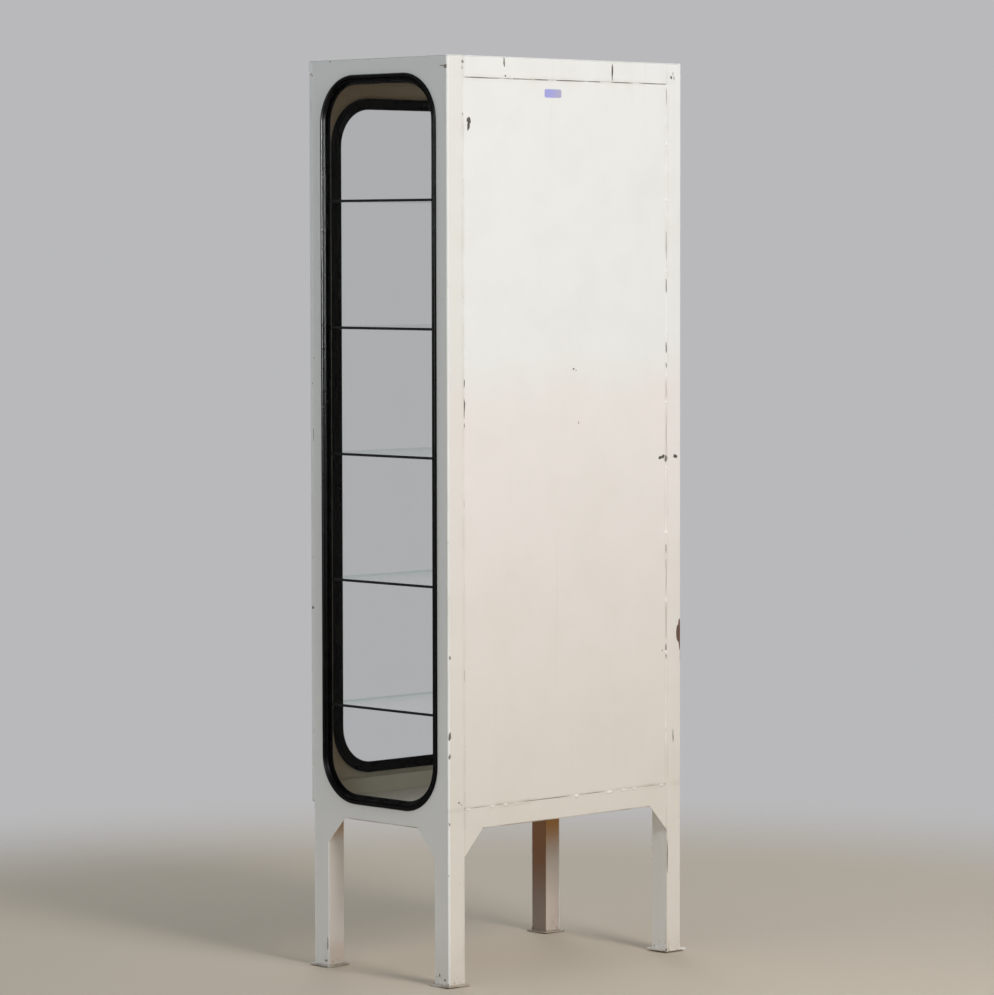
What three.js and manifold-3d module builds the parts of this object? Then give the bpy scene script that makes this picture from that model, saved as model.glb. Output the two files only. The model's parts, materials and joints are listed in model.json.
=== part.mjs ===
// A glass door medical cabinet: a narrow folded steel case on four box legs, with a rubber framed window in
// each side, a rubber framed glass door, five glass shelves and a plain steel back.
// Millimetres, +Z up. The door faces -Y, the back faces +Y, and the origin is on the floor under the middle
// of the case.
import * as THREE from 'three';
import { mergeVertices } from 'three/addons/utils/BufferGeometryUtils.js';
import Module from 'manifold-3d';

// Case
const HEIGHT = 1750;
const WIDTH = 630;
const DEPTH = 380;
const SHEET = 1.5;
const BEND_RADIUS = 4;
const WELD_GAP = 0.3;

// Legs and frame
const LEG_WIDTH = 40;
const LEG_HEIGHT = 295;
const TOP_RAIL = 40;
const BOTTOM_RAIL = 40;
const GUSSET_RUN = 47;
const GUSSET_DROP = 50;
const RETURN_FLANGE = 15;
const FOOT_PLATE = 55;
const FOOT_THICKNESS = 3;
const FOOT_CORNER = 2;
const PANEL_LAP = 12;
const LID_FLANGE = 15;
const FLOOR_FLANGE = 20;
const FLOOR_BELOW_WINDOW = 2;

// Doorway and door: the door lies over the front of the case, under the lid's fascia
const STILE = 18;
const STILE_THICKNESS = 3;
const SILL = 60;
const FASCIA = 21.5;
const DOOR_SEAT_GAP = 1;
const DOOR_DEPTH = 7;
const DOOR_EDGE_INSET = 1;
const DOOR_TOP_GAP = 2;
const DOOR_ABOVE_CASE_EDGE = 23.5;
const DOOR_STILE = 58;
const DOOR_RAIL = 50;
const DOOR_LIP = 10;

// Windows: margins run from the sheet's edge to the outside of the rubber
const SIDE_FRONT_MARGIN = 28;
const SIDE_REAR_MARGIN = 32.5;
const SIDE_TOP_MARGIN = 31.5;
const SIDE_BOTTOM_MARGIN = 31;
const WINDOW_RADIUS = 90;
const GLASS_THICKNESS = 4;
const GLASS_SET_BACK = 2.5;

// Rubber section
const RUBBER_WIDTH = 16;
const RUBBER_DEPTH = 9;
const RUBBER_LIP = 6.5;
const RUBBER_LIP_RISE = 2.8;
const RUBBER_ROUND = 1.5;
const SHEET_BITE = 4.5;
const GLASS_EDGE = 7.5;
const GLASS_LIP = 11;
const STRIP_WIDTH = 2.5;
const STRIP_SEAT = 1.1;
const STRIP_CROWN = 0.6;
const RUBBER_CLEARANCE = 0.3;

// Shelves
const SHELF_COUNT = 5;
const SHELF_THICKNESS = 5;
const FLOOR_COMPARTMENT = 184.5;
const TOP_COMPARTMENT = 265;
const SHELF_CLEARANCE = 2.5;
const SHELF_BEHIND_FRONT = 15;
const SHELF_CORNER = 4;
const SHELF_SEAT = 0.3;
const STANDARD_WIDTH = 14;
const STANDARD_THICKNESS = 2;
const STANDARD_OVERRUN = 60;
const TAB_LENGTH = 20;

// Hinges
const HINGE_COUNT = 3;
const HINGE_INSET = 150;
const HINGE_HALF = 40;
const HINGE_SPLIT = 0.5;
const BARREL_RADIUS = 5;
const PIN_RADIUS = 2.5;
const PIN_CLEARANCE = 0.3;
const PIN_HEAD_RADIUS = 4;
const PIN_HEAD = 2.5;
const LEAF_THICKNESS = 2;
const FRAME_LEAF = 20;

// Handle and lock
const HANDLE_HEIGHT = 1040;
const ROSE_WIDTH = 24;
const ROSE_HEIGHT = 64;
const ROSE_THICKNESS = 2.5;
const ROSE_SCREW_PITCH = 42;
const SCREW_RADIUS = 2.6;
const SCREW_HEAD = 1.2;
const HUB_RADIUS = 8;
const HUB_LENGTH = 7;
const LEVER_LENGTH = 55;
const LEVER_ROOT_RADIUS = 9.5;
const LEVER_TIP_RADIUS = 6;
const LEVER_THICKNESS = 6;
const PLUG_RADIUS = 5;
const PLUG_LENGTH = 5.5;
const PLUG_PROUD = 0.8;
const KEY_SLOT_WIDTH = 1.6;
const KEY_SLOT_LENGTH = 6.5;
const KEY_SLOT_DEPTH = 3;
const SPINDLE_RADIUS = 4;
const SPINDLE_CLEARANCE = 0.4;
const CAM_LENGTH = 20;
const CAM_ROOT_RADIUS = 7;
const CAM_TIP_RADIUS = 6;
const CAM_THICKNESS = 3;
const CAM_CLEARANCE = 0.7;
const NUT_RADIUS = 7.5;
const NUT_LENGTH = 4.5;
const NUT_SIDES = 6;
const STRIKE_HEIGHT = 50;
const STRIKE_INSET = 1.5;

// Facets of round stretches
const BEND_STEPS = 3;
const CORNER_STEPS = 6;
const ROUND_STEPS = 16;
const OVERCUT = 1;

// Places worked out from the sizes above
const halfWidth = WIDTH / 2;
const halfDepth = DEPTH / 2;
const sideInside = halfWidth - SHEET;
const backInside = halfDepth - SHEET;
const frontInside = -backInside;
const legInnerX = halfWidth - LEG_WIDTH;
const legInnerY = halfDepth - LEG_WIDTH;
const railX = legInnerX - WELD_GAP;
const standZ = FOOT_THICKNESS + WELD_GAP;
const lidZ = HEIGHT - SHEET;
const panelBottom = LEG_HEIGHT + BOTTOM_RAIL;
const panelTop = HEIGHT - TOP_RAIL;
const doorwayBottom = LEG_HEIGHT + SILL;
const doorwayTop = HEIGHT - TOP_RAIL;
const doorwayX = halfWidth - STILE;
const frameX = sideInside - WELD_GAP;
const panelFace = backInside - WELD_GAP;
const panelInside = panelFace - SHEET;
const doorX = halfWidth - DOOR_EDGE_INSET;
const doorBottom = LEG_HEIGHT + DOOR_ABOVE_CASE_EDGE;
const doorTop = HEIGHT - FASCIA - DOOR_TOP_GAP;
const doorBack = -halfDepth - DOOR_SEAT_GAP;
const doorFace = doorBack - DOOR_DEPTH;
const sideWindow = {
  width: DEPTH - SIDE_FRONT_MARGIN - SIDE_REAR_MARGIN,
  height: HEIGHT - SIDE_TOP_MARGIN - LEG_HEIGHT - SIDE_BOTTOM_MARGIN,
  across: (SIDE_FRONT_MARGIN - SIDE_REAR_MARGIN) / 2,
  middle: (HEIGHT - SIDE_TOP_MARGIN + LEG_HEIGHT + SIDE_BOTTOM_MARGIN) / 2,
};
const doorWindow = {
  width: 2 * (doorX - DOOR_STILE),
  height: doorTop - doorBottom - 2 * DOOR_RAIL,
  across: 0,
  middle: (doorTop + doorBottom) / 2,
};
const floorTop = sideWindow.middle - sideWindow.height / 2 - FLOOR_BELOW_WINDOW;
const legTop = floorTop - FLOOR_FLANGE - WELD_GAP;
const lowestShelf = floorTop + FLOOR_COMPARTMENT;
const shelfPitch = (lidZ - TOP_COMPARTMENT - SHELF_THICKNESS - lowestShelf) / (SHELF_COUNT - 1);
const shelfX = halfWidth - RUBBER_DEPTH - SHELF_CLEARANCE;
const shelfFront = SHELF_BEHIND_FRONT - halfDepth;
const shelfBack = panelInside - SHELF_CLEARANCE;
const standardFace = frameX - STANDARD_THICKNESS;
const hingeX = -(halfWidth + WELD_GAP + BARREL_RADIUS);
const hingeY = -halfDepth - DOOR_SEAT_GAP / 2;
const handleX = doorX - DOOR_STILE / 2;
const roseFace = doorFace - WELD_GAP - ROSE_THICKNESS;
const hubBack = roseFace - WELD_GAP;
const leverBack = hubBack - HUB_LENGTH;
const leverFace = leverBack - LEVER_THICKNESS;
const strikeFront = -halfDepth + STILE_THICKNESS + WELD_GAP;
const strikeBack = strikeFront + SHEET;
const camFront = strikeBack + CAM_CLEARANCE;
const camBack = camFront + CAM_THICKNESS;

// Finishes
const paint = new THREE.MeshStandardMaterial({ color: 0xe6e1d6, roughness: 0.42, metalness: 0 });
const insidePaint = new THREE.MeshStandardMaterial({ color: 0xd8d0c0, roughness: 0.5, metalness: 0 });
const rubber = new THREE.MeshStandardMaterial({ color: 0x141414, roughness: 0.45, metalness: 0 });
const clearGlass = new THREE.MeshStandardMaterial({
  color: 0xdfe9e6, roughness: 0.05, metalness: 0, transparent: true, opacity: 0.3,
});
const chrome = new THREE.MeshStandardMaterial({ color: 0xc8c9cb, roughness: 0.18, metalness: 1 });
const steel = new THREE.MeshStandardMaterial({ color: 0x8d8b86, roughness: 0.4, metalness: 1 });

const wasm = await Module();
wasm.setup();

// Turns a closed geometry into a solid that can be joined and cut.
function solid(geometry) {
  const bare = new THREE.BufferGeometry();
  bare.setAttribute('position', geometry.getAttribute('position').clone());
  bare.setIndex(geometry.getIndex());
  const merged = mergeVertices(bare, 1e-4);
  const corners = merged.getIndex().array;
  const faces = [];
  for (let i = 0; i < corners.length; i += 3) {
    const [a, b, c] = corners.slice(i, i + 3);
    if (a !== b && b !== c && c !== a) faces.push(a, b, c);
  }
  return new wasm.Manifold(new wasm.Mesh({
    numProp: 3,
    vertProperties: merged.getAttribute('position').array,
    triVerts: Uint32Array.from(faces),
  }));
}

// Turns a solid back into a geometry for a mesh.
function geometryOf(body) {
  const mesh = body.getMesh();
  const geometry = new THREE.BufferGeometry();
  geometry.setAttribute('position', new THREE.BufferAttribute(mesh.vertProperties, mesh.numProp));
  geometry.setIndex(new THREE.BufferAttribute(mesh.triVerts, 1));
  return geometry;
}

function piece(name, body, material) {
  const mesh = new THREE.Mesh(body.isBufferGeometry ? body : geometryOf(body), material);
  mesh.name = name;
  return mesh;
}

// A block between two corners.
function block([x0, y0, z0], [x1, y1, z1]) {
  const geometry = new THREE.BoxGeometry(x1 - x0, y1 - y0, z1 - z0);
  return solid(geometry.translate((x0 + x1) / 2, (y0 + y1) / 2, (z0 + z1) / 2));
}

// An outline whose corners are rounded to one radius.
function rounded(points, radius, steps = BEND_STEPS) {
  const outline = [];
  points.forEach((point, i) => {
    const corner = new THREE.Vector2(...point);
    const before = new THREE.Vector2(...points.at(i - 1)).sub(corner).normalize();
    const after = new THREE.Vector2(...points[(i + 1) % points.length]).sub(corner).normalize();
    const halfAngle = Math.acos(THREE.MathUtils.clamp(before.dot(after), -1, 1)) / 2;
    const bisector = before.clone().add(after).normalize();
    const centre = corner.clone().addScaledVector(bisector, radius / Math.sin(halfAngle));
    const from = corner.clone().addScaledVector(before, radius / Math.tan(halfAngle)).sub(centre);
    const to = corner.clone().addScaledVector(after, radius / Math.tan(halfAngle)).sub(centre);
    const turn = Math.atan2(from.cross(to), from.dot(to));
    for (let step = 0; step <= steps; step += 1) {
      outline.push(from.clone().rotateAround(new THREE.Vector2(), turn * step / steps).add(centre));
    }
  });
  return outline;
}

function rectangle(halfX, halfY) {
  return [[-halfX, -halfY], [halfX, -halfY], [halfX, halfY], [-halfX, halfY]];
}

function points(pairs) {
  return pairs.map(([x, y]) => new THREE.Vector2(x, y));
}

// A straight bar of an outline between two places on an axis. The outline is drawn in (y, z) for X,
// in (x, z) for Y and in (x, y) for Z.
function bar(outline, axis, from, to) {
  const geometry = new THREE.ExtrudeGeometry(new THREE.Shape(outline), {
    depth: to - from, bevelEnabled: false, steps: 1,
  });
  const x = new THREE.Vector3(1, 0, 0);
  const y = new THREE.Vector3(0, 1, 0);
  const z = new THREE.Vector3(0, 0, 1);
  const frame = {
    X: new THREE.Matrix4().makeBasis(y, z, x).setPosition(from, 0, 0),
    Y: new THREE.Matrix4().makeBasis(x, z, y.clone().negate()).setPosition(0, to, 0),
    Z: new THREE.Matrix4().makeBasis(x, y, z).setPosition(0, 0, from),
  }[axis];
  return solid(geometry.applyMatrix4(frame));
}

function circle(x, y, radius, steps = ROUND_STEPS) {
  return Array.from({ length: steps }, (_, i) => {
    const angle = 2 * Math.PI * i / steps;
    return new THREE.Vector2(x + radius * Math.cos(angle), y + radius * Math.sin(angle));
  });
}

// The outline of an arm: a large round end at the middle and a small one some way up or down.
function armOutline(x, y, rootRadius, tipRadius, reach) {
  const way = Math.sign(reach);
  const lean = Math.asin((rootRadius - tipRadius) / Math.abs(reach));
  const half = ROUND_STEPS / 2;
  const outline = [];
  for (let i = 0; i <= half; i += 1) {
    const angle = lean + (Math.PI - 2 * lean) * i / half;
    outline.push([x + tipRadius * Math.cos(angle), y + reach + way * tipRadius * Math.sin(angle)]);
  }
  for (let i = 0; i <= half; i += 1) {
    const angle = Math.PI - lean + (Math.PI + 2 * lean) * i / half;
    outline.push([x + rootRadius * Math.cos(angle), y + way * rootRadius * Math.sin(angle)]);
  }
  return points(outline);
}

// One side of the case as a single folded sheet: the side face with its two legs, and the flange behind.
function sideShell() {
  const section = (x, y, radius) => rounded(
    [[legInnerX - LEG_WIDTH, -DEPTH], [x, -DEPTH], [x, y], [legInnerX - LEG_WIDTH, y]],
    radius,
  );
  const flangeCut = block([0, -2 * DEPTH, 0], [legInnerX, DEPTH, HEIGHT]);
  const frontCut = block([0, -2 * DEPTH, 0], [WIDTH, -halfDepth, HEIGHT]);
  const archSide = legInnerY - GUSSET_RUN;
  const archFoot = LEG_HEIGHT - GUSSET_DROP;
  const arch = points([
    [-legInnerY, -OVERCUT], [legInnerY, -OVERCUT], [legInnerY, archFoot],
    [archSide, LEG_HEIGHT], [-archSide, LEG_HEIGHT], [-legInnerY, archFoot],
  ]);
  const archReturn = block(
    [sideInside - RETURN_FLANGE, -archSide, LEG_HEIGHT],
    [sideInside + SHEET / 2, archSide, LEG_HEIGHT + SHEET],
  );
  return bar(section(halfWidth, halfDepth, BEND_RADIUS), 'Z', standZ, lidZ - WELD_GAP)
    .subtract(bar(section(sideInside, backInside, BEND_RADIUS - SHEET), 'Z', 0, HEIGHT))
    .subtract(flangeCut)
    .subtract(frontCut)
    .subtract(bar(arch, 'X', sideInside - OVERCUT, halfWidth + OVERCUT))
    .subtract(bar(sheetOpening(sideWindow), 'X', sideInside - OVERCUT, halfWidth + OVERCUT))
    .add(archReturn);
}

// The hole that a window's rubber is pressed into, smaller than the rubber by the sheet's bite.
function sheetOpening(window) {
  const corners = rectangle(window.width / 2 - SHEET_BITE, window.height / 2 - SHEET_BITE);
  return rounded(
    corners.map(([across, up]) => [window.across + across, window.middle + up]),
    WINDOW_RADIUS - SHEET_BITE,
    CORNER_STEPS,
  );
}

// The angle that closes a rear leg into a box, on the leg's two inner faces.
function rearLegAngle() {
  const endY = backInside - WELD_GAP;
  const outline = points([
    [legInnerX, legInnerY], [frameX, legInnerY], [frameX, legInnerY + SHEET],
    [legInnerX + SHEET, legInnerY + SHEET], [legInnerX + SHEET, endY], [legInnerX, endY],
  ]);
  return bar(outline, 'Z', standZ, legTop);
}

// The channel that closes a front leg into a box, on the leg's front face and its two inner faces.
function frontLegChannel() {
  const outline = points([
    [frameX, -halfDepth], [frameX, frontInside], [legInnerX + SHEET, frontInside],
    [legInnerX + SHEET, -legInnerY - SHEET], [frameX, -legInnerY - SHEET], [frameX, -legInnerY],
    [legInnerX, -legInnerY], [legInnerX, -halfDepth],
  ]);
  return bar(outline, 'Z', standZ, legTop);
}

// The flat bar at the edge of the doorway, that the door shuts against.
function doorwayStile() {
  return block(
    [doorwayX, -halfDepth, doorwayBottom + WELD_GAP],
    [frameX, -halfDepth + STILE_THICKNESS, doorwayTop - WELD_GAP],
  );
}

function footPlate(way) {
  const x = halfWidth - LEG_WIDTH / 2;
  const y = way * (halfDepth - LEG_WIDTH / 2);
  const corners = rectangle(FOOT_PLATE / 2, FOOT_PLATE / 2).map(([a, b]) => [x + a, y + b]);
  return bar(rounded(corners, FOOT_CORNER), 'Z', 0, FOOT_THICKNESS);
}

function shelfBottom(index) {
  return lowestShelf + index * shelfPitch;
}

// A strip on the side wall with one tab under each shelf. way is -1 in front and 1 behind.
function shelfStandard(way) {
  const near = sideWindow.across + way * (sideWindow.width / 2 + WELD_GAP);
  const far = near + way * STANDARD_WIDTH;
  const tabEnd = way < 0 ? Math.max(far, shelfFront) : far;
  const low = shelfBottom(0) - STANDARD_OVERRUN;
  const high = shelfBottom(SHELF_COUNT - 1) + STANDARD_OVERRUN;
  const [y0, y1] = [Math.min(near, far), Math.max(near, far)];
  const [tab0, tab1] = [Math.min(near, tabEnd), Math.max(near, tabEnd)];
  let body = block([standardFace, y0, low], [standardFace + STANDARD_THICKNESS, y1, high]);
  for (let i = 0; i < SHELF_COUNT; i += 1) {
    const top = shelfBottom(i) - SHELF_SEAT;
    body = body.add(block(
      [standardFace + STANDARD_THICKNESS / 2 - TAB_LENGTH, tab0, top - STANDARD_THICKNESS],
      [standardFace + STANDARD_THICKNESS / 2, tab1, top],
    ));
  }
  return body;
}

// A ring of one section carried round a window. The section is drawn as (inwards from the rubber's outside,
// outwards from the sheet's face), and the ring lies in x and y with the outside of the sheet at z = 0.
function windowRing(window, section) {
  const corners = rectangle(window.width / 2 - WINDOW_RADIUS, window.height / 2 - WINDOW_RADIUS);
  const stations = corners.flatMap(([x, y], corner) => Array.from({ length: CORNER_STEPS + 1 }, (_, step) => {
    const angle = Math.PI + (Math.PI / 2) * (corner + step / CORNER_STEPS);
    return { x, y, cos: Math.cos(angle), sin: Math.sin(angle) };
  }));
  const vertices = stations.flatMap((at) => section.flatMap(([inwards, outwards]) => [
    at.x + (WINDOW_RADIUS - inwards) * at.cos,
    at.y + (WINDOW_RADIUS - inwards) * at.sin,
    outwards,
  ]));
  const faces = [];
  stations.forEach((_, i) => section.forEach((__, j) => {
    const next = (i + 1) % stations.length;
    const up = (j + 1) % section.length;
    const [a, b] = [i * section.length + j, i * section.length + up];
    const [c, d] = [next * section.length + j, next * section.length + up];
    faces.push(a, c, b, b, c, d);
  }));
  const geometry = new THREE.BufferGeometry();
  geometry.setAttribute('position', new THREE.Float32BufferAttribute(vertices, 3));
  geometry.setIndex(faces);
  return geometry;
}

// The rubber's section, from the edge of its outer lip over the strip's seat to the glass, and back inside.
function rubberSection() {
  const stripEnd = RUBBER_LIP + STRIP_WIDTH;
  const glassFace = -GLASS_SET_BACK;
  const glassBack = glassFace - GLASS_THICKNESS;
  return [
    [0, RUBBER_CLEARANCE],
    [RUBBER_ROUND / 2, RUBBER_LIP_RISE - RUBBER_ROUND / 2],
    [RUBBER_ROUND, RUBBER_LIP_RISE],
    [RUBBER_LIP - RUBBER_ROUND, RUBBER_LIP_RISE],
    [RUBBER_LIP, RUBBER_LIP_RISE - RUBBER_ROUND],
    [RUBBER_LIP, -STRIP_SEAT],
    [stripEnd, -STRIP_SEAT],
    [stripEnd, 0],
    [GLASS_LIP, glassFace + 2 * RUBBER_CLEARANCE],
    [GLASS_LIP, glassFace + RUBBER_CLEARANCE],
    [GLASS_EDGE - RUBBER_CLEARANCE, glassFace + RUBBER_CLEARANCE],
    [GLASS_EDGE - RUBBER_CLEARANCE, glassBack - RUBBER_CLEARANCE],
    [RUBBER_WIDTH, glassBack - RUBBER_CLEARANCE],
    [RUBBER_WIDTH, RUBBER_ROUND - RUBBER_DEPTH],
    [RUBBER_WIDTH - RUBBER_ROUND, -RUBBER_DEPTH],
    [RUBBER_ROUND, -RUBBER_DEPTH],
    [0, RUBBER_ROUND - RUBBER_DEPTH],
    [0, -SHEET - RUBBER_CLEARANCE],
    [SHEET_BITE + RUBBER_CLEARANCE, -SHEET - RUBBER_CLEARANCE],
    [SHEET_BITE + RUBBER_CLEARANCE, RUBBER_CLEARANCE],
  ];
}

// The filler strip that locks the rubber, a low crowned bead in the seat beside the outer lip.
function stripSection() {
  const from = RUBBER_LIP + RUBBER_CLEARANCE;
  const to = RUBBER_LIP + STRIP_WIDTH - RUBBER_CLEARANCE;
  const bottom = RUBBER_CLEARANCE - STRIP_SEAT;
  return [[from, bottom], [from, 0], [(from + to) / 2, STRIP_CROWN], [to, 0], [to, bottom]];
}

function glassPane(window) {
  const corners = rectangle(window.width / 2 - GLASS_EDGE, window.height / 2 - GLASS_EDGE);
  const outline = rounded(corners, WINDOW_RADIUS - GLASS_EDGE, CORNER_STEPS);
  return bar(outline, 'Z', -GLASS_SET_BACK - GLASS_THICKNESS, -GLASS_SET_BACK);
}

// A glazed window as rubber, filler strip and pane, in its own plane with its outside facing local +Z.
function glazing(name, window) {
  const group = new THREE.Group();
  group.add(
    piece(`${name}_rubber_frame`, windowRing(window, rubberSection()), rubber),
    piece(`${name}_filler_strip`, windowRing(window, stripSection()), rubber),
    piece(`${name}_glass`, glassPane(window), clearGlass),
  );
  return group;
}

// Everything on one side of the case, drawn for the right and mirrored for the left.
function caseSide(name, mirror) {
  const side = new THREE.Group();
  side.add(
    piece(`${name}_side_shell`, sideShell(), paint),
    piece(`${name}_doorway_stile`, doorwayStile(), paint),
    piece(`front_${name}_leg_channel`, frontLegChannel(), paint),
    piece(`rear_${name}_leg_angle`, rearLegAngle(), paint),
    piece(`front_${name}_foot_plate`, footPlate(-1), paint),
    piece(`rear_${name}_foot_plate`, footPlate(1), paint),
    piece(`front_${name}_shelf_standard`, shelfStandard(-1), insidePaint),
    piece(`rear_${name}_shelf_standard`, shelfStandard(1), insidePaint),
  );
  const window = glazing(`${name}_side`, sideWindow);
  window.position.set(halfWidth, sideWindow.across, sideWindow.middle);
  window.quaternion.setFromRotationMatrix(new THREE.Matrix4().makeBasis(
    new THREE.Vector3(0, 1, 0),
    new THREE.Vector3(0, 0, 1),
    new THREE.Vector3(1, 0, 0),
  ));
  side.add(window);
  side.scale.x = mirror;
  return side;
}

// A shallow tray with its edges folded down from a flat top.
function tray(corners, top, flange) {
  const outside = rounded(corners, BEND_RADIUS);
  const inside = rounded(
    corners.map(([x, y]) => [x - Math.sign(x) * SHEET, y - Math.sign(y) * SHEET]),
    BEND_RADIUS,
  );
  return bar(outside, 'Z', top - flange, top).subtract(bar(inside, 'Z', top - flange - OVERCUT, top - SHEET));
}

// The lid: a flat sheet over the case and the door, with a folded rim that drops inside the case and a fascia
// turned down in front, over the top of the door.
function lid() {
  const rim = rectangle(frameX, backInside - WELD_GAP);
  const outline = rounded(
    [[-halfWidth, doorFace], [halfWidth, doorFace], [halfWidth, halfDepth], [-halfWidth, halfDepth]],
    BEND_RADIUS,
  );
  const behindFascia = block(
    [-WIDTH, doorFace + SHEET, HEIGHT - FASCIA - OVERCUT],
    [WIDTH, DEPTH, lidZ],
  );
  return bar(outline, 'Z', HEIGHT - FASCIA, HEIGHT)
    .subtract(behindFascia)
    .add(tray(rim, lidZ + SHEET / 2, LID_FLANGE));
}

function caseFloor() {
  const front = frontInside + WELD_GAP;
  const back = panelInside - WELD_GAP;
  return tray([[-frameX, front], [frameX, front], [frameX, back], [-frameX, back]], floorTop, FLOOR_FLANGE);
}

function backPanel() {
  const x = legInnerX + PANEL_LAP;
  return block([-x, panelInside, panelBottom - PANEL_LAP], [x, panelFace, panelTop + PANEL_LAP]);
}

// The rail under the case between two legs, with a gusset at each end and its lower edge folded in.
// way is -1 in front and 1 behind.
function bottomRail(way, top) {
  const gussetX = railX - GUSSET_RUN;
  const face = points([
    [-railX, top], [railX, top], [railX, LEG_HEIGHT - GUSSET_DROP],
    [gussetX, LEG_HEIGHT], [-gussetX, LEG_HEIGHT], [-railX, LEG_HEIGHT - GUSSET_DROP],
  ]);
  const [outside, inside] = [way * halfDepth, way * backInside];
  const foldEnd = inside - way * RETURN_FLANGE;
  const foldRoot = inside + way * SHEET / 2;
  return bar(face, 'Y', Math.min(outside, inside), Math.max(outside, inside)).add(block(
    [-gussetX, Math.min(foldEnd, foldRoot), LEG_HEIGHT],
    [gussetX, Math.max(foldEnd, foldRoot), LEG_HEIGHT + SHEET],
  ));
}

// The front rail is as wide as the case above its legs, and stands up as the doorway's sill.
function frontBottomRail() {
  const sill = block([-frameX, -halfDepth, legTop + WELD_GAP], [frameX, frontInside, doorwayBottom]);
  return bottomRail(-1, doorwayBottom).add(sill);
}

function backTopRail() {
  return block([-railX, backInside, panelTop], [railX, halfDepth, lidZ - WELD_GAP]);
}

// The rail over the doorway, with its lower edge folded in.
function frontTopRail() {
  const face = block([-frameX, -halfDepth, doorwayTop], [frameX, frontInside, lidZ - WELD_GAP]);
  const fold = block(
    [-frameX, frontInside - SHEET / 2, doorwayTop],
    [frameX, frontInside + RETURN_FLANGE, doorwayTop + SHEET],
  );
  return face.add(fold);
}

function shelf(index) {
  const outline = rounded(
    [[-shelfX, shelfFront], [shelfX, shelfFront], [shelfX, shelfBack], [-shelfX, shelfBack]],
    SHELF_CORNER,
  );
  return bar(outline, 'Z', shelfBottom(index), shelfBottom(index) + SHELF_THICKNESS);
}

// The door's sheet: a face with its edges folded back and turned in, cut for the window and the spindle.
function doorShell() {
  const middle = (doorTop + doorBottom) / 2;
  const halfHeight = (doorTop - doorBottom) / 2;
  const outline = (inset, radius) => rounded(
    rectangle(doorX - inset, halfHeight - inset).map(([x, z]) => [x, z + middle]),
    radius,
  );
  return bar(outline(0, BEND_RADIUS), 'Y', doorFace, doorBack)
    .subtract(bar(outline(SHEET, BEND_RADIUS - SHEET), 'Y', doorFace + SHEET, doorBack - SHEET))
    .subtract(bar(outline(DOOR_LIP, BEND_RADIUS), 'Y', doorBack - 2 * SHEET, doorBack + OVERCUT))
    .subtract(bar(sheetOpening(doorWindow), 'Y', doorFace - OVERCUT, doorFace + 2 * SHEET))
    .subtract(spindleHole(doorFace - OVERCUT, doorFace + 2 * SHEET));
}

function spindleHole(from, to) {
  return bar(circle(handleX, HANDLE_HEIGHT, SPINDLE_RADIUS + SPINDLE_CLEARANCE), 'Y', from, to);
}

// Half of a hinge: a bored barrel with a leaf on the case's side, or with a tab on the door's edge.
function hingeHalf(low, high, [x0, y0], [x1, y1]) {
  return bar(circle(hingeX, hingeY, BARREL_RADIUS), 'Z', low, high)
    .add(block([x0, y0, low], [x1, y1, high]))
    .subtract(bar(circle(hingeX, hingeY, PIN_RADIUS + PIN_CLEARANCE), 'Z', low - OVERCUT, high + OVERCUT));
}

function frameLeaf(middle) {
  const seat = -halfWidth - WELD_GAP;
  return hingeHalf(
    middle - HINGE_HALF, middle - HINGE_SPLIT,
    [seat - LEAF_THICKNESS, hingeY], [seat, hingeY + FRAME_LEAF],
  );
}

function doorTab(middle) {
  return hingeHalf(
    middle + HINGE_SPLIT, middle + HINGE_HALF,
    [hingeX, doorFace + SHEET], [-doorX - WELD_GAP, doorBack],
  );
}

// A hinge pin with a low domed head at each end.
function hingePin() {
  const end = HINGE_HALF + PIN_CLEARANCE;
  const profile = points([
    [0, -end - PIN_HEAD], [PIN_HEAD_RADIUS / 2, -end - PIN_HEAD], [PIN_HEAD_RADIUS, -end - PIN_HEAD / 2],
    [PIN_HEAD_RADIUS, -end], [PIN_RADIUS, -end], [PIN_RADIUS, end], [PIN_HEAD_RADIUS, end],
    [PIN_HEAD_RADIUS, end + PIN_HEAD / 2], [PIN_HEAD_RADIUS / 2, end + PIN_HEAD], [0, end + PIN_HEAD],
  ]);
  return solid(new THREE.LatheGeometry(profile, ROUND_STEPS).rotateX(Math.PI / 2));
}

function hinges() {
  const span = doorTop - doorBottom - 2 * HINGE_INSET;
  return Array.from({ length: HINGE_COUNT }, (_, i) => {
    const middle = doorBottom + HINGE_INSET + span * i / (HINGE_COUNT - 1);
    const pin = piece(`hinge_${i + 1}_pin`, hingePin(), steel);
    pin.position.set(hingeX, hingeY, middle);
    return [
      piece(`hinge_${i + 1}_frame_leaf`, frameLeaf(middle), paint),
      piece(`hinge_${i + 1}_door_tab`, doorTab(middle), paint),
      pin,
    ];
  }).flat();
}

function rose() {
  const half = ROSE_HEIGHT / 2 - ROSE_WIDTH / 2;
  const outline = rounded(
    rectangle(ROSE_WIDTH / 2, half + ROSE_WIDTH / 2).map(([x, z]) => [handleX + x, HANDLE_HEIGHT + z]),
    ROSE_WIDTH / 2 - WELD_GAP,
    CORNER_STEPS,
  );
  return bar(outline, 'Y', roseFace, doorFace - WELD_GAP).subtract(spindleHole(roseFace - OVERCUT, doorFace));
}

function roseScrew(way) {
  const z = HANDLE_HEIGHT + way * ROSE_SCREW_PITCH / 2;
  const slot = block(
    [handleX - SCREW_RADIUS - OVERCUT, roseFace - WELD_GAP - SCREW_HEAD - OVERCUT, z - SCREW_HEAD / 3],
    [handleX + SCREW_RADIUS + OVERCUT, roseFace - WELD_GAP - SCREW_HEAD / 2, z + SCREW_HEAD / 3],
  );
  return bar(circle(handleX, z, SCREW_RADIUS), 'Y', roseFace - WELD_GAP - SCREW_HEAD, roseFace - WELD_GAP)
    .subtract(slot);
}

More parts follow.
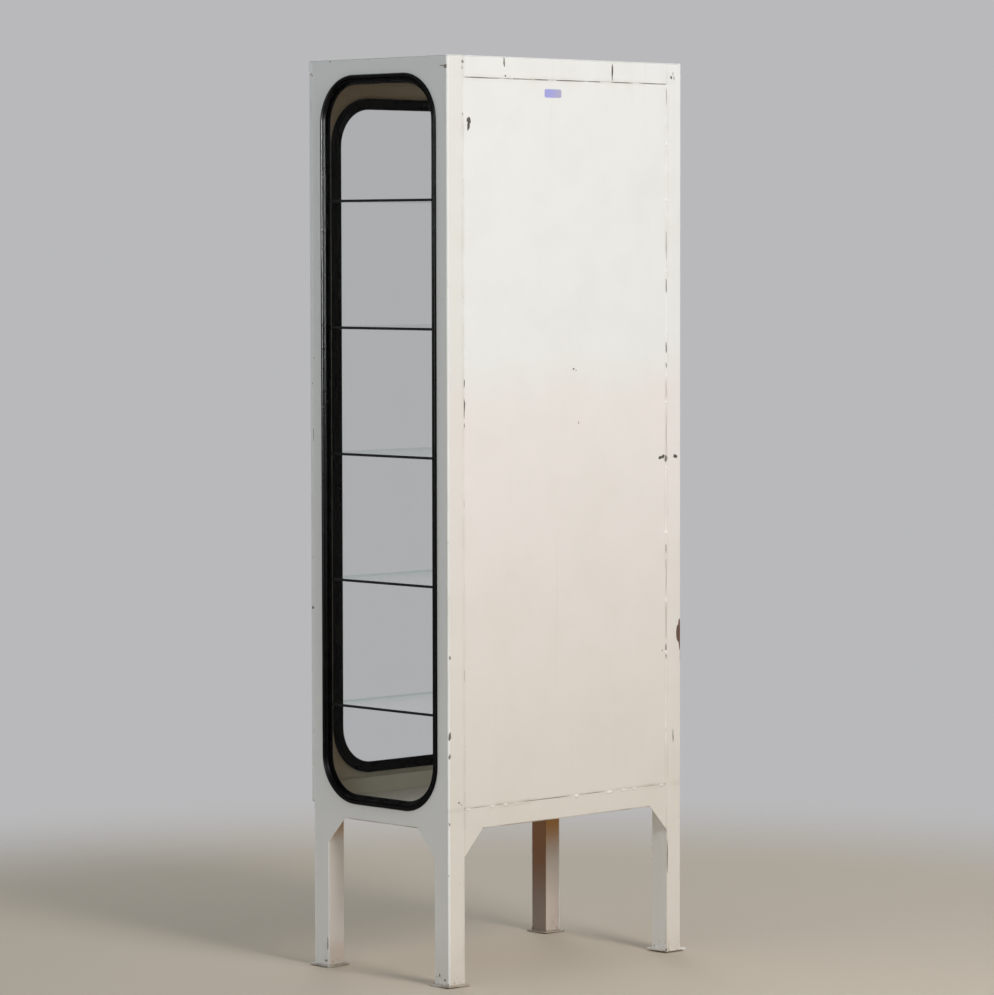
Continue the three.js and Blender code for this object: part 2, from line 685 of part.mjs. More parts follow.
// The lever hangs down at rest, on a hub that is bored in front for the lock plug.
function lever() {
  const arm = bar(
    armOutline(handleX, HANDLE_HEIGHT, LEVER_ROOT_RADIUS, LEVER_TIP_RADIUS, -LEVER_LENGTH),
    'Y', leverFace, leverBack,
  );
  const hub = bar(circle(handleX, HANDLE_HEIGHT, HUB_RADIUS), 'Y', leverBack - LEVER_THICKNESS / 2, hubBack);
  const plugHole = bar(
    circle(handleX, HANDLE_HEIGHT, PLUG_RADIUS + SPINDLE_CLEARANCE),
    'Y', leverFace - OVERCUT, leverFace + PLUG_LENGTH,
  );
  return arm.add(hub).subtract(plugHole);
}

function lockPlug() {
  const face = leverFace - PLUG_PROUD;
  const keySlot = block(
    [handleX - KEY_SLOT_WIDTH / 2, face - OVERCUT, HANDLE_HEIGHT - KEY_SLOT_LENGTH / 2],
    [handleX + KEY_SLOT_WIDTH / 2, face + KEY_SLOT_DEPTH, HANDLE_HEIGHT + KEY_SLOT_LENGTH / 2],
  );
  return bar(circle(handleX, HANDLE_HEIGHT, PLUG_RADIUS), 'Y', face, leverFace + PLUG_LENGTH - WELD_GAP)
    .subtract(keySlot);
}

function spindle() {
  const end = camBack + WELD_GAP + NUT_LENGTH;
  return bar(circle(handleX, HANDLE_HEIGHT, SPINDLE_RADIUS), 'Y', hubBack + WELD_GAP, end);
}

// The latch cam stands up at rest, clear of the doorway, and turns behind the strike to hold the door shut.
function latchCam() {
  const outline = armOutline(handleX, HANDLE_HEIGHT, CAM_ROOT_RADIUS, CAM_TIP_RADIUS, CAM_LENGTH);
  return bar(outline, 'Y', camFront, camBack).subtract(spindleHole(camFront - OVERCUT, camBack + OVERCUT));
}

function camNut() {
  const from = camBack + WELD_GAP;
  return bar(circle(handleX, HANDLE_HEIGHT, NUT_RADIUS, NUT_SIDES), 'Y', from, from + NUT_LENGTH)
    .subtract(spindleHole(from - OVERCUT, from + NUT_LENGTH + OVERCUT));
}

function strike() {
  return block(
    [doorwayX + STRIKE_INSET, strikeFront, HANDLE_HEIGHT - STRIKE_HEIGHT / 2],
    [sideInside - STRIKE_INSET, strikeBack, HANDLE_HEIGHT + STRIKE_HEIGHT / 2],
  );
}

function door() {
  const group = new THREE.Group();
  const window = glazing('door', doorWindow);
  window.position.set(doorWindow.across, doorFace, doorWindow.middle);
  window.rotation.x = Math.PI / 2;
  group.add(
    piece('door_shell', doorShell(), paint),
    window,
    piece('handle_rose', rose(), chrome),
    piece('rose_screw_upper', roseScrew(1), steel),
    piece('rose_screw_lower', roseScrew(-1), steel),
    piece('handle_lever', lever(), chrome),
    piece('handle_spindle', spindle(), steel),
    piece('latch_cam', latchCam(), steel),
    piece('cam_nut', camNut(), steel),
    piece('lock_plug', lockPlug(), chrome),
  );
  return group;
}

const cabinet = new THREE.Group();
cabinet.add(
  caseSide('right', 1),
  caseSide('left', -1),
  piece('lid', lid(), paint),
  piece('case_floor', caseFloor(), insidePaint),
  piece('back_panel', backPanel(), paint),
  piece('back_top_rail', backTopRail(), paint),
  piece('back_bottom_rail', bottomRail(1, panelBottom), paint),
  piece('front_top_rail', frontTopRail(), paint),
  piece('front_bottom_rail', frontBottomRail(), paint),
  piece('strike_plate', strike(), steel),
  ...Array.from({ length: SHELF_COUNT }, (_, i) => piece(`shelf_${i + 1}`, shelf(i), clearGlass)),
  door(),
  ...hinges(),
);

export default cabinet;
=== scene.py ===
"""The finishes of a glass door medical cabinet: aged enamel on folded sheet, black rubber and clear glass."""

import json
import math
from types import SimpleNamespace

import bmesh
import bpy
import numpy as np
from bpy.props import FloatProperty, FloatVectorProperty, IntProperty, PointerProperty
from bpy.types import Operator, Panel, PropertyGroup
from mathutils import Matrix, Vector

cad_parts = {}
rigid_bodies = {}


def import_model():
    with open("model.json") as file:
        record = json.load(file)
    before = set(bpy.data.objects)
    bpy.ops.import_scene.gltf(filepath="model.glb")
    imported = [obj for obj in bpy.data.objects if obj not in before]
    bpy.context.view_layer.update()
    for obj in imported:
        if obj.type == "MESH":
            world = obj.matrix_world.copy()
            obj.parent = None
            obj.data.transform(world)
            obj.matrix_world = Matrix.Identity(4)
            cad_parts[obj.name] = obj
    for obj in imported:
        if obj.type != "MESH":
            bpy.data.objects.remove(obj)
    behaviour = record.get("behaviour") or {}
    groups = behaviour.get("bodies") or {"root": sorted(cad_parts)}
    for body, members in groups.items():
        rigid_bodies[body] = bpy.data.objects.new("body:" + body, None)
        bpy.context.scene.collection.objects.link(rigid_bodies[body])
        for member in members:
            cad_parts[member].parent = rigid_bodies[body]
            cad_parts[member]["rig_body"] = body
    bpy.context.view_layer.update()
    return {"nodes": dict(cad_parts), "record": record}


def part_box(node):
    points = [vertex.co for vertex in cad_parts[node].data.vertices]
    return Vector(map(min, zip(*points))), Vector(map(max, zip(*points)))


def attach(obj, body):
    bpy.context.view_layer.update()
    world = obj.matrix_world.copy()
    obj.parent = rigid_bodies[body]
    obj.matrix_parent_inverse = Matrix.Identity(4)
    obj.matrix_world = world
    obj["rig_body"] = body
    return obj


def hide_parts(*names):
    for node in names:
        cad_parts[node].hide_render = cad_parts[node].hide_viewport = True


bl_info = {
    "name": "Glass Door Medical Cabinet",
    "version": (1, 0, 0),
    "blender": (4, 5, 0),
    "location": "View3D > Sidebar > Cabinet",
    "description": "Dresses the packed cabinet in enamel, rubber and glass, and sets up its stage",
    "category": "Object",
}

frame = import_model()
MM = 0.001
TURN = 2 * math.pi

# Places that come from the frame
HALF_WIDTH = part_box("right_side_shell")[1].x
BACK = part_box("back_top_rail")[1].y
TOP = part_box("lid")[1].z
CASE_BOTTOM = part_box("case_floor")[0].z
PANEL_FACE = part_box("back_panel")[1].y
PANEL_SHEET = PANEL_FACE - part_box("back_panel")[0].y
RAIL_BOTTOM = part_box("back_top_rail")[0].z
RAIL_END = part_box("back_top_rail")[1].x
SILL_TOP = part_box("back_bottom_rail")[1].z
DOOR_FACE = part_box("door_shell")[0].y
DOOR_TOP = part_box("door_shell")[1].z
LEG_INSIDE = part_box("front_right_leg_channel")[0].x
LEG_BACK = -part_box("front_right_leg_channel")[1].y
WINDOWS = ("right_side", "left_side", "door")
SHELVES = sorted(name for name in frame["nodes"] if name.startswith("shelf_"))
HINGE_LEAVES = sorted(name for name in frame["nodes"] if name.endswith("_frame_leaf"))
FOOT_PLATES = sorted(name for name in frame["nodes"] if name.endswith("_foot_plate"))
SPRUNG_PLATE = "rear_left_foot_plate"
OWN_PIECES = {"back_panel", *FOOT_PLATES}
SIDES = {"right": 1.0, "left": -1.0}

# Sizes and angles that the pieces and finishes use, and steps round a corner and along a straight
GAP = 0.3 * MM
SHEET = 1.5 * MM
UNDER_FACE = 0.2 * MM
MERGE = 1e-7
SOFT_ANGLE = 35.0
SHARP_ANGLE = 40.0
ARCH_TOP = SILL_TOP - 40.0 * MM
GUSSET = 47.0 * MM
NEAR = 1.0 * MM
SHELF_STEPS = (6, 1)
TAB_STEPS = (5, 2)
LABEL_X = 37.0 * MM
LABEL_Z = RAIL_BOTTOM - 26.0 * MM

# Painted-over weld lumps in metres: heights on the upright seams, places on the level ones, and half sizes
LEFT_WELDS = (1.593, 1.484, 1.345, 1.089, 0.96, 0.833, 0.699, 0.596)
RIGHT_WELDS = (1.52, 1.3, 0.86, 0.62, 0.45)
SILL_WELDS = (
    (0.264, 0.006, 0.0026), (0.202, 0.006, 0.003), (0.166, 0.007, 0.0026), (0.136, 0.006, 0.0022),
    (-0.024, 0.007, 0.0042), (-0.115, 0.01, 0.004), (-0.155, 0.012, 0.0026), (-0.185, 0.01, 0.0022),
    (-0.262, 0.006, 0.0026))
LEFT_LUMP = (3.4 * MM, 4.4 * MM)
RIGHT_LUMP = (1.8 * MM, 3.0 * MM)
TOP_LUMP = 1.8 * MM
TOP_WELDS = ((0.148, 0.004), (0.045, 0.005), (-0.095, 0.006), (-0.18, 0.003))

# Cracked paint along the back's seams in millimetres: place along the seam, half length, half width, bareness
SEAM = RAIL_END / MM
RIGHT_CRACKS = (
    (1686, 18, 0.4, 0.5), (1396, 30, 0.48, 0.6), (1316, 13, 0.8, 0.9), (1195, 10, 0.95, 0.9),
    (1161, 5, 0.7, 0.9), (1116, 20, 0.48, 0.6), (1030, 50, 0.44, 0.5), (801, 10, 0.6, 0.7),
    (742, 46, 0.44, 0.5), (655, 36, 0.6, 0.7), (599, 17, 0.8, 0.9), (443, 4, 0.3, 0.4))
LEFT_CRACKS = (
    (1600, 40, 0.16, 0), (1182, 4, 0.35, 0.5), (911, 7, 0.45, 0.5), (760, 25, 0.2, 0),
    (588, 11, 0.5, 0.5), (444, 38, 0.32, 0.2), (360, 12, 0.4, 0.2))
# Painted shadow under the top rail's edge, drawn as dark strips with breaks: place along the seam and half
# length
TOP_RAIL_SHADOW = ((225, 50), (130, 36), (65, 30), (-10, 50), (-75, 22), (-150, 34), (-235, 36))
SILL_CRACKS = (
    (48, 56, 1, 0.35), (-68, 32, 0.8, 0.2), (-215, 40, 0.35, 0), (238, 30, 0.5, 0.1),
    (184, 10, 0.5, 0), (-268, 5, 0.7, 0.1))

# Chips in the paint in millimetres: across, height, half width, half height, then how bare and how rusty
BACK_CHIPS = (
    (-122.3, 1729, 1.9, 18.5, 0.85, 0), (168, 1739.5, 2.6, 8, 0.4, 0),
    (164.8, 1714.2, 1.9, 1.9, 0.9, 0), (276, 1738, 2.6, 3.4, 0.3, 0.2),
    (277.5, 1727, 1.2, 4, 0, 0), (-286.5, 1722.8, 2.8, 3, 0.8, 0),
    (-294.4, 1721.5, 1.2, 4.4, 0.4, 0), (-291.5, 1730, 1, 3.4, 0.5, 0),
    (258.6, 1629, 4.8, 7, 0.9, 0.1), (259.4, 1619, 3.4, 9, 0.9, 0.1),
    (276.9, 1640.5, 1.2, 2.6, 0.3, 0), (-257.8, 980, 4.6, 3.6, 0.9, 0.1),
    (-266, 982, 4.2, 4, 0.9, 0), (-273.2, 978, 3.2, 6, 0.9, 0),
    (-298.5, 981.5, 5.6, 4, 0.9, 0.1), (-311.5, 632, 5, 34, 0.9, 0.9),
    (-307, 634, 5.4, 17, 0.9, 0.9), (-313.5, 585, 1.2, 14, 0.3, 0.3),
    (-17.3, 1158.6, 2.8, 1.8, 0.5, 0.6), (-24, 1156, 1.4, 1.2, 0.3, 0.5),
    (-30.8, 1055, 1.6, 2.6, 0, 0.1), (-292.8, 429, 1.3, 13, 0.8, 0),
    (-264, 600, 1.6, 1.4, 0.5, 0), (312, 476, 2.4, 8, 0.7, 0.1),
    (312.3, 437.7, 2, 5, 0.4, 0.1), (311.7, 624, 2, 3.4, 0.5, 0),
    (289.3, 348.8, 3, 2.2, 0.1, 0.1), (283, 344, 1.8, 1.4, 0.1, 0.1),
    (275, 337, 1, 3, 0.3, 0), (SEAM - 2.4, 1137, 2, 8, 0.85, 0),
    (SEAM - 2.6, 1091, 1.7, 18, 0.85, 0), (SEAM - 2.8, 1098, 2.4, 8, 0.9, 0),
    (SEAM - 2.6, 1058, 1.6, 4, 0.75, 0))
LEG_SLIT = (-276.8, 192, 1.4, 30, 0.9, 0)
SIDE_CHIPS = (
    (184, 1728.5, 4.6, 3.4, 0.5, 0), (176, 1730, 7, 1.2, 0, 0),
    (-137, 1746.6, 1.6, 1.6, 0.6, 0), (-188.4, 1032, 0.8, 13, 0.7, 0),
    (-188.6, 1722, 1, 2.4, 0.6, 0), (-186.5, 1180, 1, 2, 0.4, 0),
    (-153, 46, 1.1, 15, 0.8, 0.2), (163, 22, 1.6, 3, 0.6, 0.5), (178, 14, 2.4, 2, 0.6, 0.4))
LEFT_CHIPS = (
    (-168, 1728, 2.2, 3, 0.6, 0.2), (183, 1196, 2.4, 5, 0.8, 0.3),
    (-181, 872, 1.4, 6, 0.7, 0.1), (182.5, 548, 2, 8, 0.8, 0.6),
    (-60, 303, 5, 1.6, 0.4, 0.3), (84, 1741, 4, 2, 0.3, 0),
    (-176, 24, 1.8, 3.6, 0.7, 0.5), (171, 17, 2.6, 2.2, 0.6, 0.6))
DOOR_CHIPS = (
    (266, 1004, 2.2, 1.6, 0.7, 0.1), (303, 996, 2.8, 2, 0.8, 0.2),
    (298, 988, 1.2, 1.4, 0.4, 0), (308, 1130, 1.4, 6, 0.7, 0.1),
    (307.5, 742, 1.6, 4, 0.6, 0.3), (-306, 1310, 1.6, 5, 0.6, 0.2),
    (-302, 402, 2.2, 3, 0.5, 0.5), (212, 323.5, 6, 1.8, 0.7, 0.5),
    (-96, 323, 3.4, 1.4, 0.5, 0.4), (-190, 1720.5, 3.2, 1.6, 0.4, 0.1),
    (140, 1719, 1.8, 1.6, 0.5, 0))


def length(name, description, millimetres):
    return FloatProperty(name=name, description=description, default=millimetres * MM, min=0.0, unit="LENGTH")


def count(name, description, default, least=1):
    return IntProperty(name=name, description=description, default=default, min=least)


def angle(name, description, radians):
    return FloatProperty(name=name, description=description, default=radians, subtype="ANGLE")


def power(name, description, watts):
    return FloatProperty(name=name, description=description, default=watts, unit="POWER")


def tint(name, description, *default):
    return FloatVectorProperty(name=name, description=description, default=default, subtype="COLOR")


class CabinetSizes(PropertyGroup):
    """Sizes of the pieces that are modelled over the frame."""

    sheet_arris: length("Sheet arris", "Rounding of a sheet's cut edges", 0.45)
    handle_arris: length("Handle arris", "Rounding of the handle's edges", 0.45)
    bend_radius: length("Bend radius", "Outside radius of the case's folded corners", 4.0)
    window_radius: length("Window radius", "Outside radius of the rubber at a window's corners", 90.0)
    corner_steps: count("Corner steps", "Facets of a window's quarter corner", 20, least=4)
    straight_steps: count("Straight steps", "Stretches along each straight run of rubber", 24)
    rubber_rise: length("Rubber rise", "How far the frame's plain rubber stands out of the sheet", 2.8)
    rubber_lip: length("Outer lip", "Width of the rubber's outer lip", 6.5)
    lip_bulge: length("Lip bulge", "How far the crown of the outer lip stands out of the sheet", 4.6)
    lip_overlap: length("Lip overlap", "How far the outer lip spreads over the sheet outside its frame", 1.5)
    lip_ridges: count("Lip ridges", "Ridges along the outer lip", 2)
    bead_width: length("Inner bead", "Width of the rubber inside the window", 17.0)
    door_bead_spread: length("Door bead spread", "How far the door's inner bead spreads over the sheet", 4.5)
    strip_width: length("Filler strip", "Width of the seat of the filler strip", 2.5)
    strip_seat: length("Strip seat", "Depth of the filler strip's seat", 1.1)
    sheet_bite: length("Sheet bite", "How far the sheet reaches into the rubber", 4.8)
    rubber_wave: length("Rubber wave", "Unevenness of the fitted rubber", 0.05)
    glass_lip: length("Glass lip", "Where the outer lip ends on the glass, from the rubber's outside", 11.0)
    glass_arris: length("Glass arris", "Chamfer of a ground glass edge", 0.7)
    shelf_corner: length("Shelf corner", "Corner radius of a glass shelf", 4.0)
    panel_bow: length("Panel bow", "How far the back panel is sprung out of flat", 0.9)
    seam_paint: length("Seam paint", "Width of the paint that fills the back panel's upright seams", 2.4)
    foot_lift: length("Foot lift", "How far the foot plates' edges are bent up", 2.2)
    sprung_lift: length("Sprung lift", "How far the edges of the one badly bent foot plate stand up", 4.2)
    foot_corner: length("Foot corner", "Corner radius of a foot plate", 2.0)
    screw_radius: length("Hinge screw", "Head radius of the hinge leaves' screws", 3.2)


class CabinetFinish(PropertyGroup):
    """Colours of the finishes, as linear red, green and blue."""

    enamel: tint("Enamel", "Clean cream enamel", 0.812, 0.791, 0.759)
    warm_enamel: tint("Warm enamel", "Enamel of the back from half height down", 0.815, 0.748, 0.704)
    aged_enamel: tint("Aged enamel", "Yellowed enamel", 0.704, 0.646, 0.571)
    # Painted highlight: the pale enamel of edges, corners and weld lumps, and painted light low on the sides
    # and on the rear legs
    highlight_enamel: tint("Rubbed enamel", "Enamel polished pale along the edges", 0.90, 0.89, 0.87)
    # Painted shade: the darker brown of the enamel inside the case
    inside_shade_enamel: tint("Inside enamel", "Enamel inside the case", 0.455, 0.345, 0.205)
    floor_enamel: tint("Floor enamel", "Enamel of the case's floor and sill, inside", 0.72, 0.675, 0.565)
    # Painted shade on the front legs' sheltered faces, browned like a stain
    leg_shade_stain: tint("Leg stain", "Brown stain inside the sheltered leg", 0.235, 0.086, 0.010)
    leg_shade_tan: tint("Leg tan", "Paler stain behind the front legs", 0.40, 0.165, 0.016)
    faded_chip: tint("Faded chip", "Shallow chips that only show the primer", 0.36, 0.31, 0.25)
    # Dark soiling in seams and corners, also painted as shadow above the sill and under the arches
    grime_and_shade: tint("Grime", "Dirt in seams and corners", 0.30, 0.235, 0.16)
    rust: tint("Rust", "Rust at chipped paint", 0.13, 0.055, 0.028)
    bare_metal: tint("Bare metal", "Dark sheet under chipped paint", 0.035, 0.031, 0.028)
    rubber: tint("Rubber", "Black window rubber", 0.0024, 0.0023, 0.0023)
    dust: tint("Dust", "Dust on rubber and glass", 0.42, 0.41, 0.39)
    glass: tint("Glass", "What one surface of glass lets through", 0.962, 0.966, 0.966)
    glass_edge: tint("Glass edge", "Ground edge of a shelf", 0.006, 0.009, 0.008)
    polished_glass: tint("Polished edge", "What a shelf's polished front edge lets through", 0.46, 0.60, 0.55)
    chrome: tint("Chrome", "Bright plating", 0.78, 0.78, 0.79)
    steel: tint("Steel", "Plain steel", 0.50, 0.48, 0.45)
    label: tint("Label", "Plain stock label", 0.36, 0.35, 0.70)
    faded_label: tint("Faded label", "The label where it has faded", 0.44, 0.41, 0.52)
    enamel_roughness: FloatProperty(
        name="Enamel roughness", description="Gloss of clean enamel", default=0.40, min=0.0, max=1.0)


class CabinetStage(PropertyGroup):
    """The floor, the light and the camera."""

    camera_place: FloatVectorProperty(
        name="Camera place", description="Where the camera stands", subtype="TRANSLATION",
        default=(5.87028, 6.07517, 1.39098))
    camera_heading: angle("Camera heading", "Turn of the view from +X", -2.3386)
    camera_pitch: angle("Camera pitch", "Tilt of the view above level", -0.0575)
    camera_roll: angle("Camera roll", "Turn of the picture", -0.0017)
    lens: FloatProperty(
        name="Lens", description="Focal length on a 36 mm sensor, in millimetres", default=156.93, min=1.0)
    key_power: power("Key light", "Power of the key lamp", 132.0)
    fill_power: power("Fill light", "Power of the fill lamp", 70.0)
    rim_power: power("Rim light", "Power of the lamp that only shows in gloss", 220.0)
    sky: tint("Sky", "Light from all round", 0.41, 0.445, 0.465)
    backdrop: tint("Backdrop", "Background behind the object", 0.485, 0.485, 0.495)
    mirrored_low: tint("Mirrored low", "What glossy pieces mirror below the horizon", 0.22, 0.22, 0.225)
    mirrored_high: tint("Mirrored high", "What glossy pieces mirror overhead", 0.80, 0.80, 0.81)
    floor: tint("Floor", "Plain pale floor", 0.62, 0.54, 0.45)
    floor_radius: length("Floor radius", "Where the floor has faded out", 2600.0)
    floor_fade: length("Floor fade", "Where the floor begins to fade", 1300.0)


def operator(operation, reflected=False):
    """A method that adds a Math node on a signal and another value, which comes first if it is reflected."""
    def method(self, other=0.0):
        first, second = (other, self) if reflected else (self, other)
        return self.finish.node("ShaderNodeMath", {"operation": operation}, {0: first, 1: second})
    return method


class Signal:
    """A shader socket that Python arithmetic can use: each operator adds one Math node."""

    def __init__(self, finish, socket):
        self.finish = finish
        self.socket = socket

    __add__ = operator("ADD")
    __radd__ = operator("ADD", reflected=True)
    __sub__ = operator("SUBTRACT")
    __rsub__ = operator("SUBTRACT", reflected=True)
    __mul__ = operator("MULTIPLY")
    __rmul__ = operator("MULTIPLY", reflected=True)
    __pow__ = operator("POWER")
    __rpow__ = operator("POWER", reflected=True)
    __gt__ = operator("GREATER_THAN")
    __lt__ = operator("LESS_THAN")
    __abs__ = operator("ABSOLUTE")
    at_least = operator("MAXIMUM")
    at_most = operator("MINIMUM")

    def output(self, name):
        """Another output of the same node."""
        return Signal(self.finish, self.socket.node.outputs[name])

    def rise(self, low, high):
        """0 at low and 1 at high, with a smooth step between; high may be under low."""
        return self.finish.node(
            "ShaderNodeMapRange", {"interpolation_type": "SMOOTHSTEP"},
            {"Value": self, "From Min": low, "From Max": high})


class Finish:
    """The nodes of a material or a world, written as expressions."""

    def __init__(self, owner):
        owner.use_nodes = True
        self.owner = owner
        self.tree = owner.node_tree
        self.tree.nodes.clear()
        self.coordinates = self.node("ShaderNodeTexCoord")
        self.place = self.coordinates.output("Object")

    def node(self, kind, settings=None, sockets=None):
        """Adds a node, sets its settings, then gives its sockets their values or links."""
        made = self.tree.nodes.new(kind)
        for key, value in (settings or {}).items():
            setattr(made, key, value)
        for key, value in (sockets or {}).items():
            socket = made.inputs[key]
            if isinstance(value, Signal):
                self.tree.links.new(value.socket, socket)
            elif hasattr(socket.default_value, "__len__"):
                missing = len(socket.default_value) - len(value)
                socket.default_value = (*value, *(1.0,) * missing)
            else:
                socket.default_value = value
        return Signal(self, made.outputs[0]) if made.outputs else made

    def split(self, vector):
        """A vector's x, y and z."""
        parts = self.node("ShaderNodeSeparateXYZ", {}, {"Vector": vector})
        return parts, parts.output("Y"), parts.output("Z")

    def value(self, name):
        """A number that each point of a piece carries."""
        return self.node("ShaderNodeAttribute", {"attribute_name": name}).output("Fac")

    def noise(self, scale, detail=3.0, stretch=(1.0, 1.0, 1.0)):
        """Cloudy noise on the place, finer along an axis whose stretch is larger."""
        place = self.node("ShaderNodeMapping", {}, {"Vector": self.place, "Scale": stretch})
        return self.node(
            "ShaderNodeTexNoise", {}, {"Vector": place, "Scale": scale, "Detail": detail, "Roughness": 0.55})

    def blend(self, factor, first, second):
        """One colour turning into another as the factor rises."""
        mix = self.node("ShaderNodeMix", {"data_type": "RGBA"}, {0: factor, 6: first, 7: second})
        return mix.output(2)

    def mixed(self, factor, first, second):
        """One shader turning into another as the factor rises."""
        return self.node("ShaderNodeMixShader", {}, {0: factor, 1: first, 2: second})

    def coloured(self, kind, colour, **sockets):
        """A shader that has a colour."""
        return self.node(kind, {}, {"Color": colour, **sockets})

    def bump(self, height, distance, **sockets):
        relief = {"Height": height, "Strength": 1.0, "Distance": distance}
        return self.node("ShaderNodeBump", {}, {**relief, **sockets})

    def done(self, **sockets):
        """Ends a material in one Principled shader."""
        named = {key.replace("_", " ").title().replace("Ior", "IOR"): value for key, value in sockets.items()}
        return self.ended(self.node("ShaderNodeBsdfPrincipled", {}, named))

    def ended(self, shader, output="ShaderNodeOutputMaterial"):
        self.node(output, {}, {"Surface": shader})
        return self.owner


def made_once(recipe):
    """Turns a recipe into a function that makes its material the first time that a piece asks for it."""
    def material():
        made = bpy.data.materials.get(recipe.__name__)
        if made is None:
            made = recipe(Finish(bpy.data.materials.new(recipe.__name__)), bpy.context.scene.cabinet_finish)
        return made
    return material


def enamel_places(coat):
    """What the layers of the aged enamel share: distances from the case's faces, places that are 1 on its
    edges, on the back and within the legs' outer faces, noises, and the painted highlight on the weld lumps."""
    x, y, z = coat.split(coat.place)
    side = HALF_WIDTH - abs(x)
    depth = BACK - abs(y)
    height = TOP - z
    largest = side.at_least(depth).at_least(height)
    smallest = side.at_most(depth).at_most(height)
    return SimpleNamespace(
        x=x, y=y, z=z, side=side, height=height,
        edge=(side + depth + height - largest - smallest).rise(5.0 * MM, 0.6 * MM),
        on_back=y.rise(BACK - 8.0 * MM, BACK - 4.0 * MM),
        within=(side > 1.6 * MM) * (depth > 1.6 * MM) * (z < ARCH_TOP),
        cloud=coat.noise(4.5, 4.0), patch=coat.noise(14.0, 5.0), fleck=coat.noise(60.0, 5.0),
        worn=coat.value("worn"))


def warmer_lower(coat, tone, at):
    """Enamel that is warm on the back from half height down, yellower and darker towards the bottom, in
    clouds and on a flange.
    """
    warm = (at.z + at.cloud * 0.20).rise(1.31, 1.17) * at.on_back
    colour = coat.blend(warm, tone.enamel, tone.warm_enamel)
    yellower = at.z.rise(1.18, 0.22) * (0.03 + at.on_back * 0.83)
    yellower = yellower + at.cloud.rise(0.42, 0.75) * (0.08 + at.on_back * 0.10)
    yellower = yellower + at.patch.rise(0.40, 0.70) * at.on_back * 0.12
    yellower = yellower + (at.x > RAIL_END) * at.on_back * at.z.rise(0.50, 1.10) * 0.36
    return coat.blend(yellower.at_most(1.0), colour, tone.aged_enamel)


def painted_highlights(coat, tone, at, colour):
    """Painted highlights: enamel painted pale on edges, leg corners and weld lumps, and painted light on the
    rear legs' inner faces and low on the sides.
    """
    # Painted highlight along the front legs' rear corners
    leg_corner = at.side.rise(2.6 * MM, 0.6 * MM) * abs(at.y + LEG_BACK).rise(2.6 * MM, 0.6 * MM)
    leg_corner = leg_corner * (at.z < ARCH_TOP - 50.0 * MM)
    # Painted light on the rear legs' inner faces and low on the sides
    rear_leg = (abs(abs(at.x) - LEG_INSIDE) < NEAR) * (at.y > 0.0) * at.within
    lower_side = at.side.rise(3.0 * MM, 1.0 * MM) * at.z.rise(0.80, 0.28) * 0.5
    pale = at.edge * 0.6 + leg_corner + at.worn * 0.55 + rear_leg + lower_side
    return coat.blend(pale.at_most(0.9), colour, tone.highlight_enamel)


def shaded_inside(coat, tone, at, colour):
    """Painted shade inside the case: the enamel there is a darker brown, with painted light paler low down
    away from the right side and near the top towards the left.
    """
    inside = (at.side > 1.2 * MM) * (at.y > DOOR_FACE + NEAR) * (at.y < PANEL_FACE - 0.5 * MM)
    inside = inside * (at.z > CASE_BOTTOM + 16.0 * MM) * (at.height > 1.2 * MM)
    # Painted light: paler low down away from the right side, and near the top towards the left
    painted_light = at.z.rise(0.40, 0.35) * at.x.rise(0.29, 0.15)
    painted_light = painted_light + at.z.rise(1.60, 1.70) * at.x.rise(0.16, 0.02) * 0.22
    painted_shade_lining = coat.blend(painted_light, tone.inside_shade_enamel, tone.floor_enamel)
    return coat.blend(inside * 0.9, colour, painted_shade_lining)


def leg_shade_and_stain(coat, tone, at, colour):
    """Painted shade, browned like a stain, on the sheltered faces of the front legs: tan behind them and
    darker inside the left one, most of it high up under the case.
    """
    at_leg = at.within * (at.y < NEAR - LEG_BACK) * (abs(at.x) > LEG_INSIDE - NEAR)
    left = at.x < 0.0
    # Painted shade, strongest high up under the case
    left_shade = left * (0.36 + at.z.rise(0.140, 0.228) * 0.62)
    right_shade = (1.0 - left) * (0.16 + at.z.rise(0.235, 0.280) * 0.60 + at.z.rise(0.07, 0.03) * 0.18)
    behind = (abs(at.y + LEG_BACK) < NEAR) * (left_shade + right_shade) * at_leg
    colour = coat.blend(behind, colour, tone.leg_shade_tan)
    sheltered = (abs(at.x + LEG_INSIDE) < NEAR) * (0.80 + at.z.rise(0.04, 0.17) * 0.17) * at_leg
    stain = coat.blend(at.z.rise(0.20, 0.04) * 0.5, tone.leg_shade_stain, tone.bare_metal)
    return coat.blend(sheltered, colour, stain)


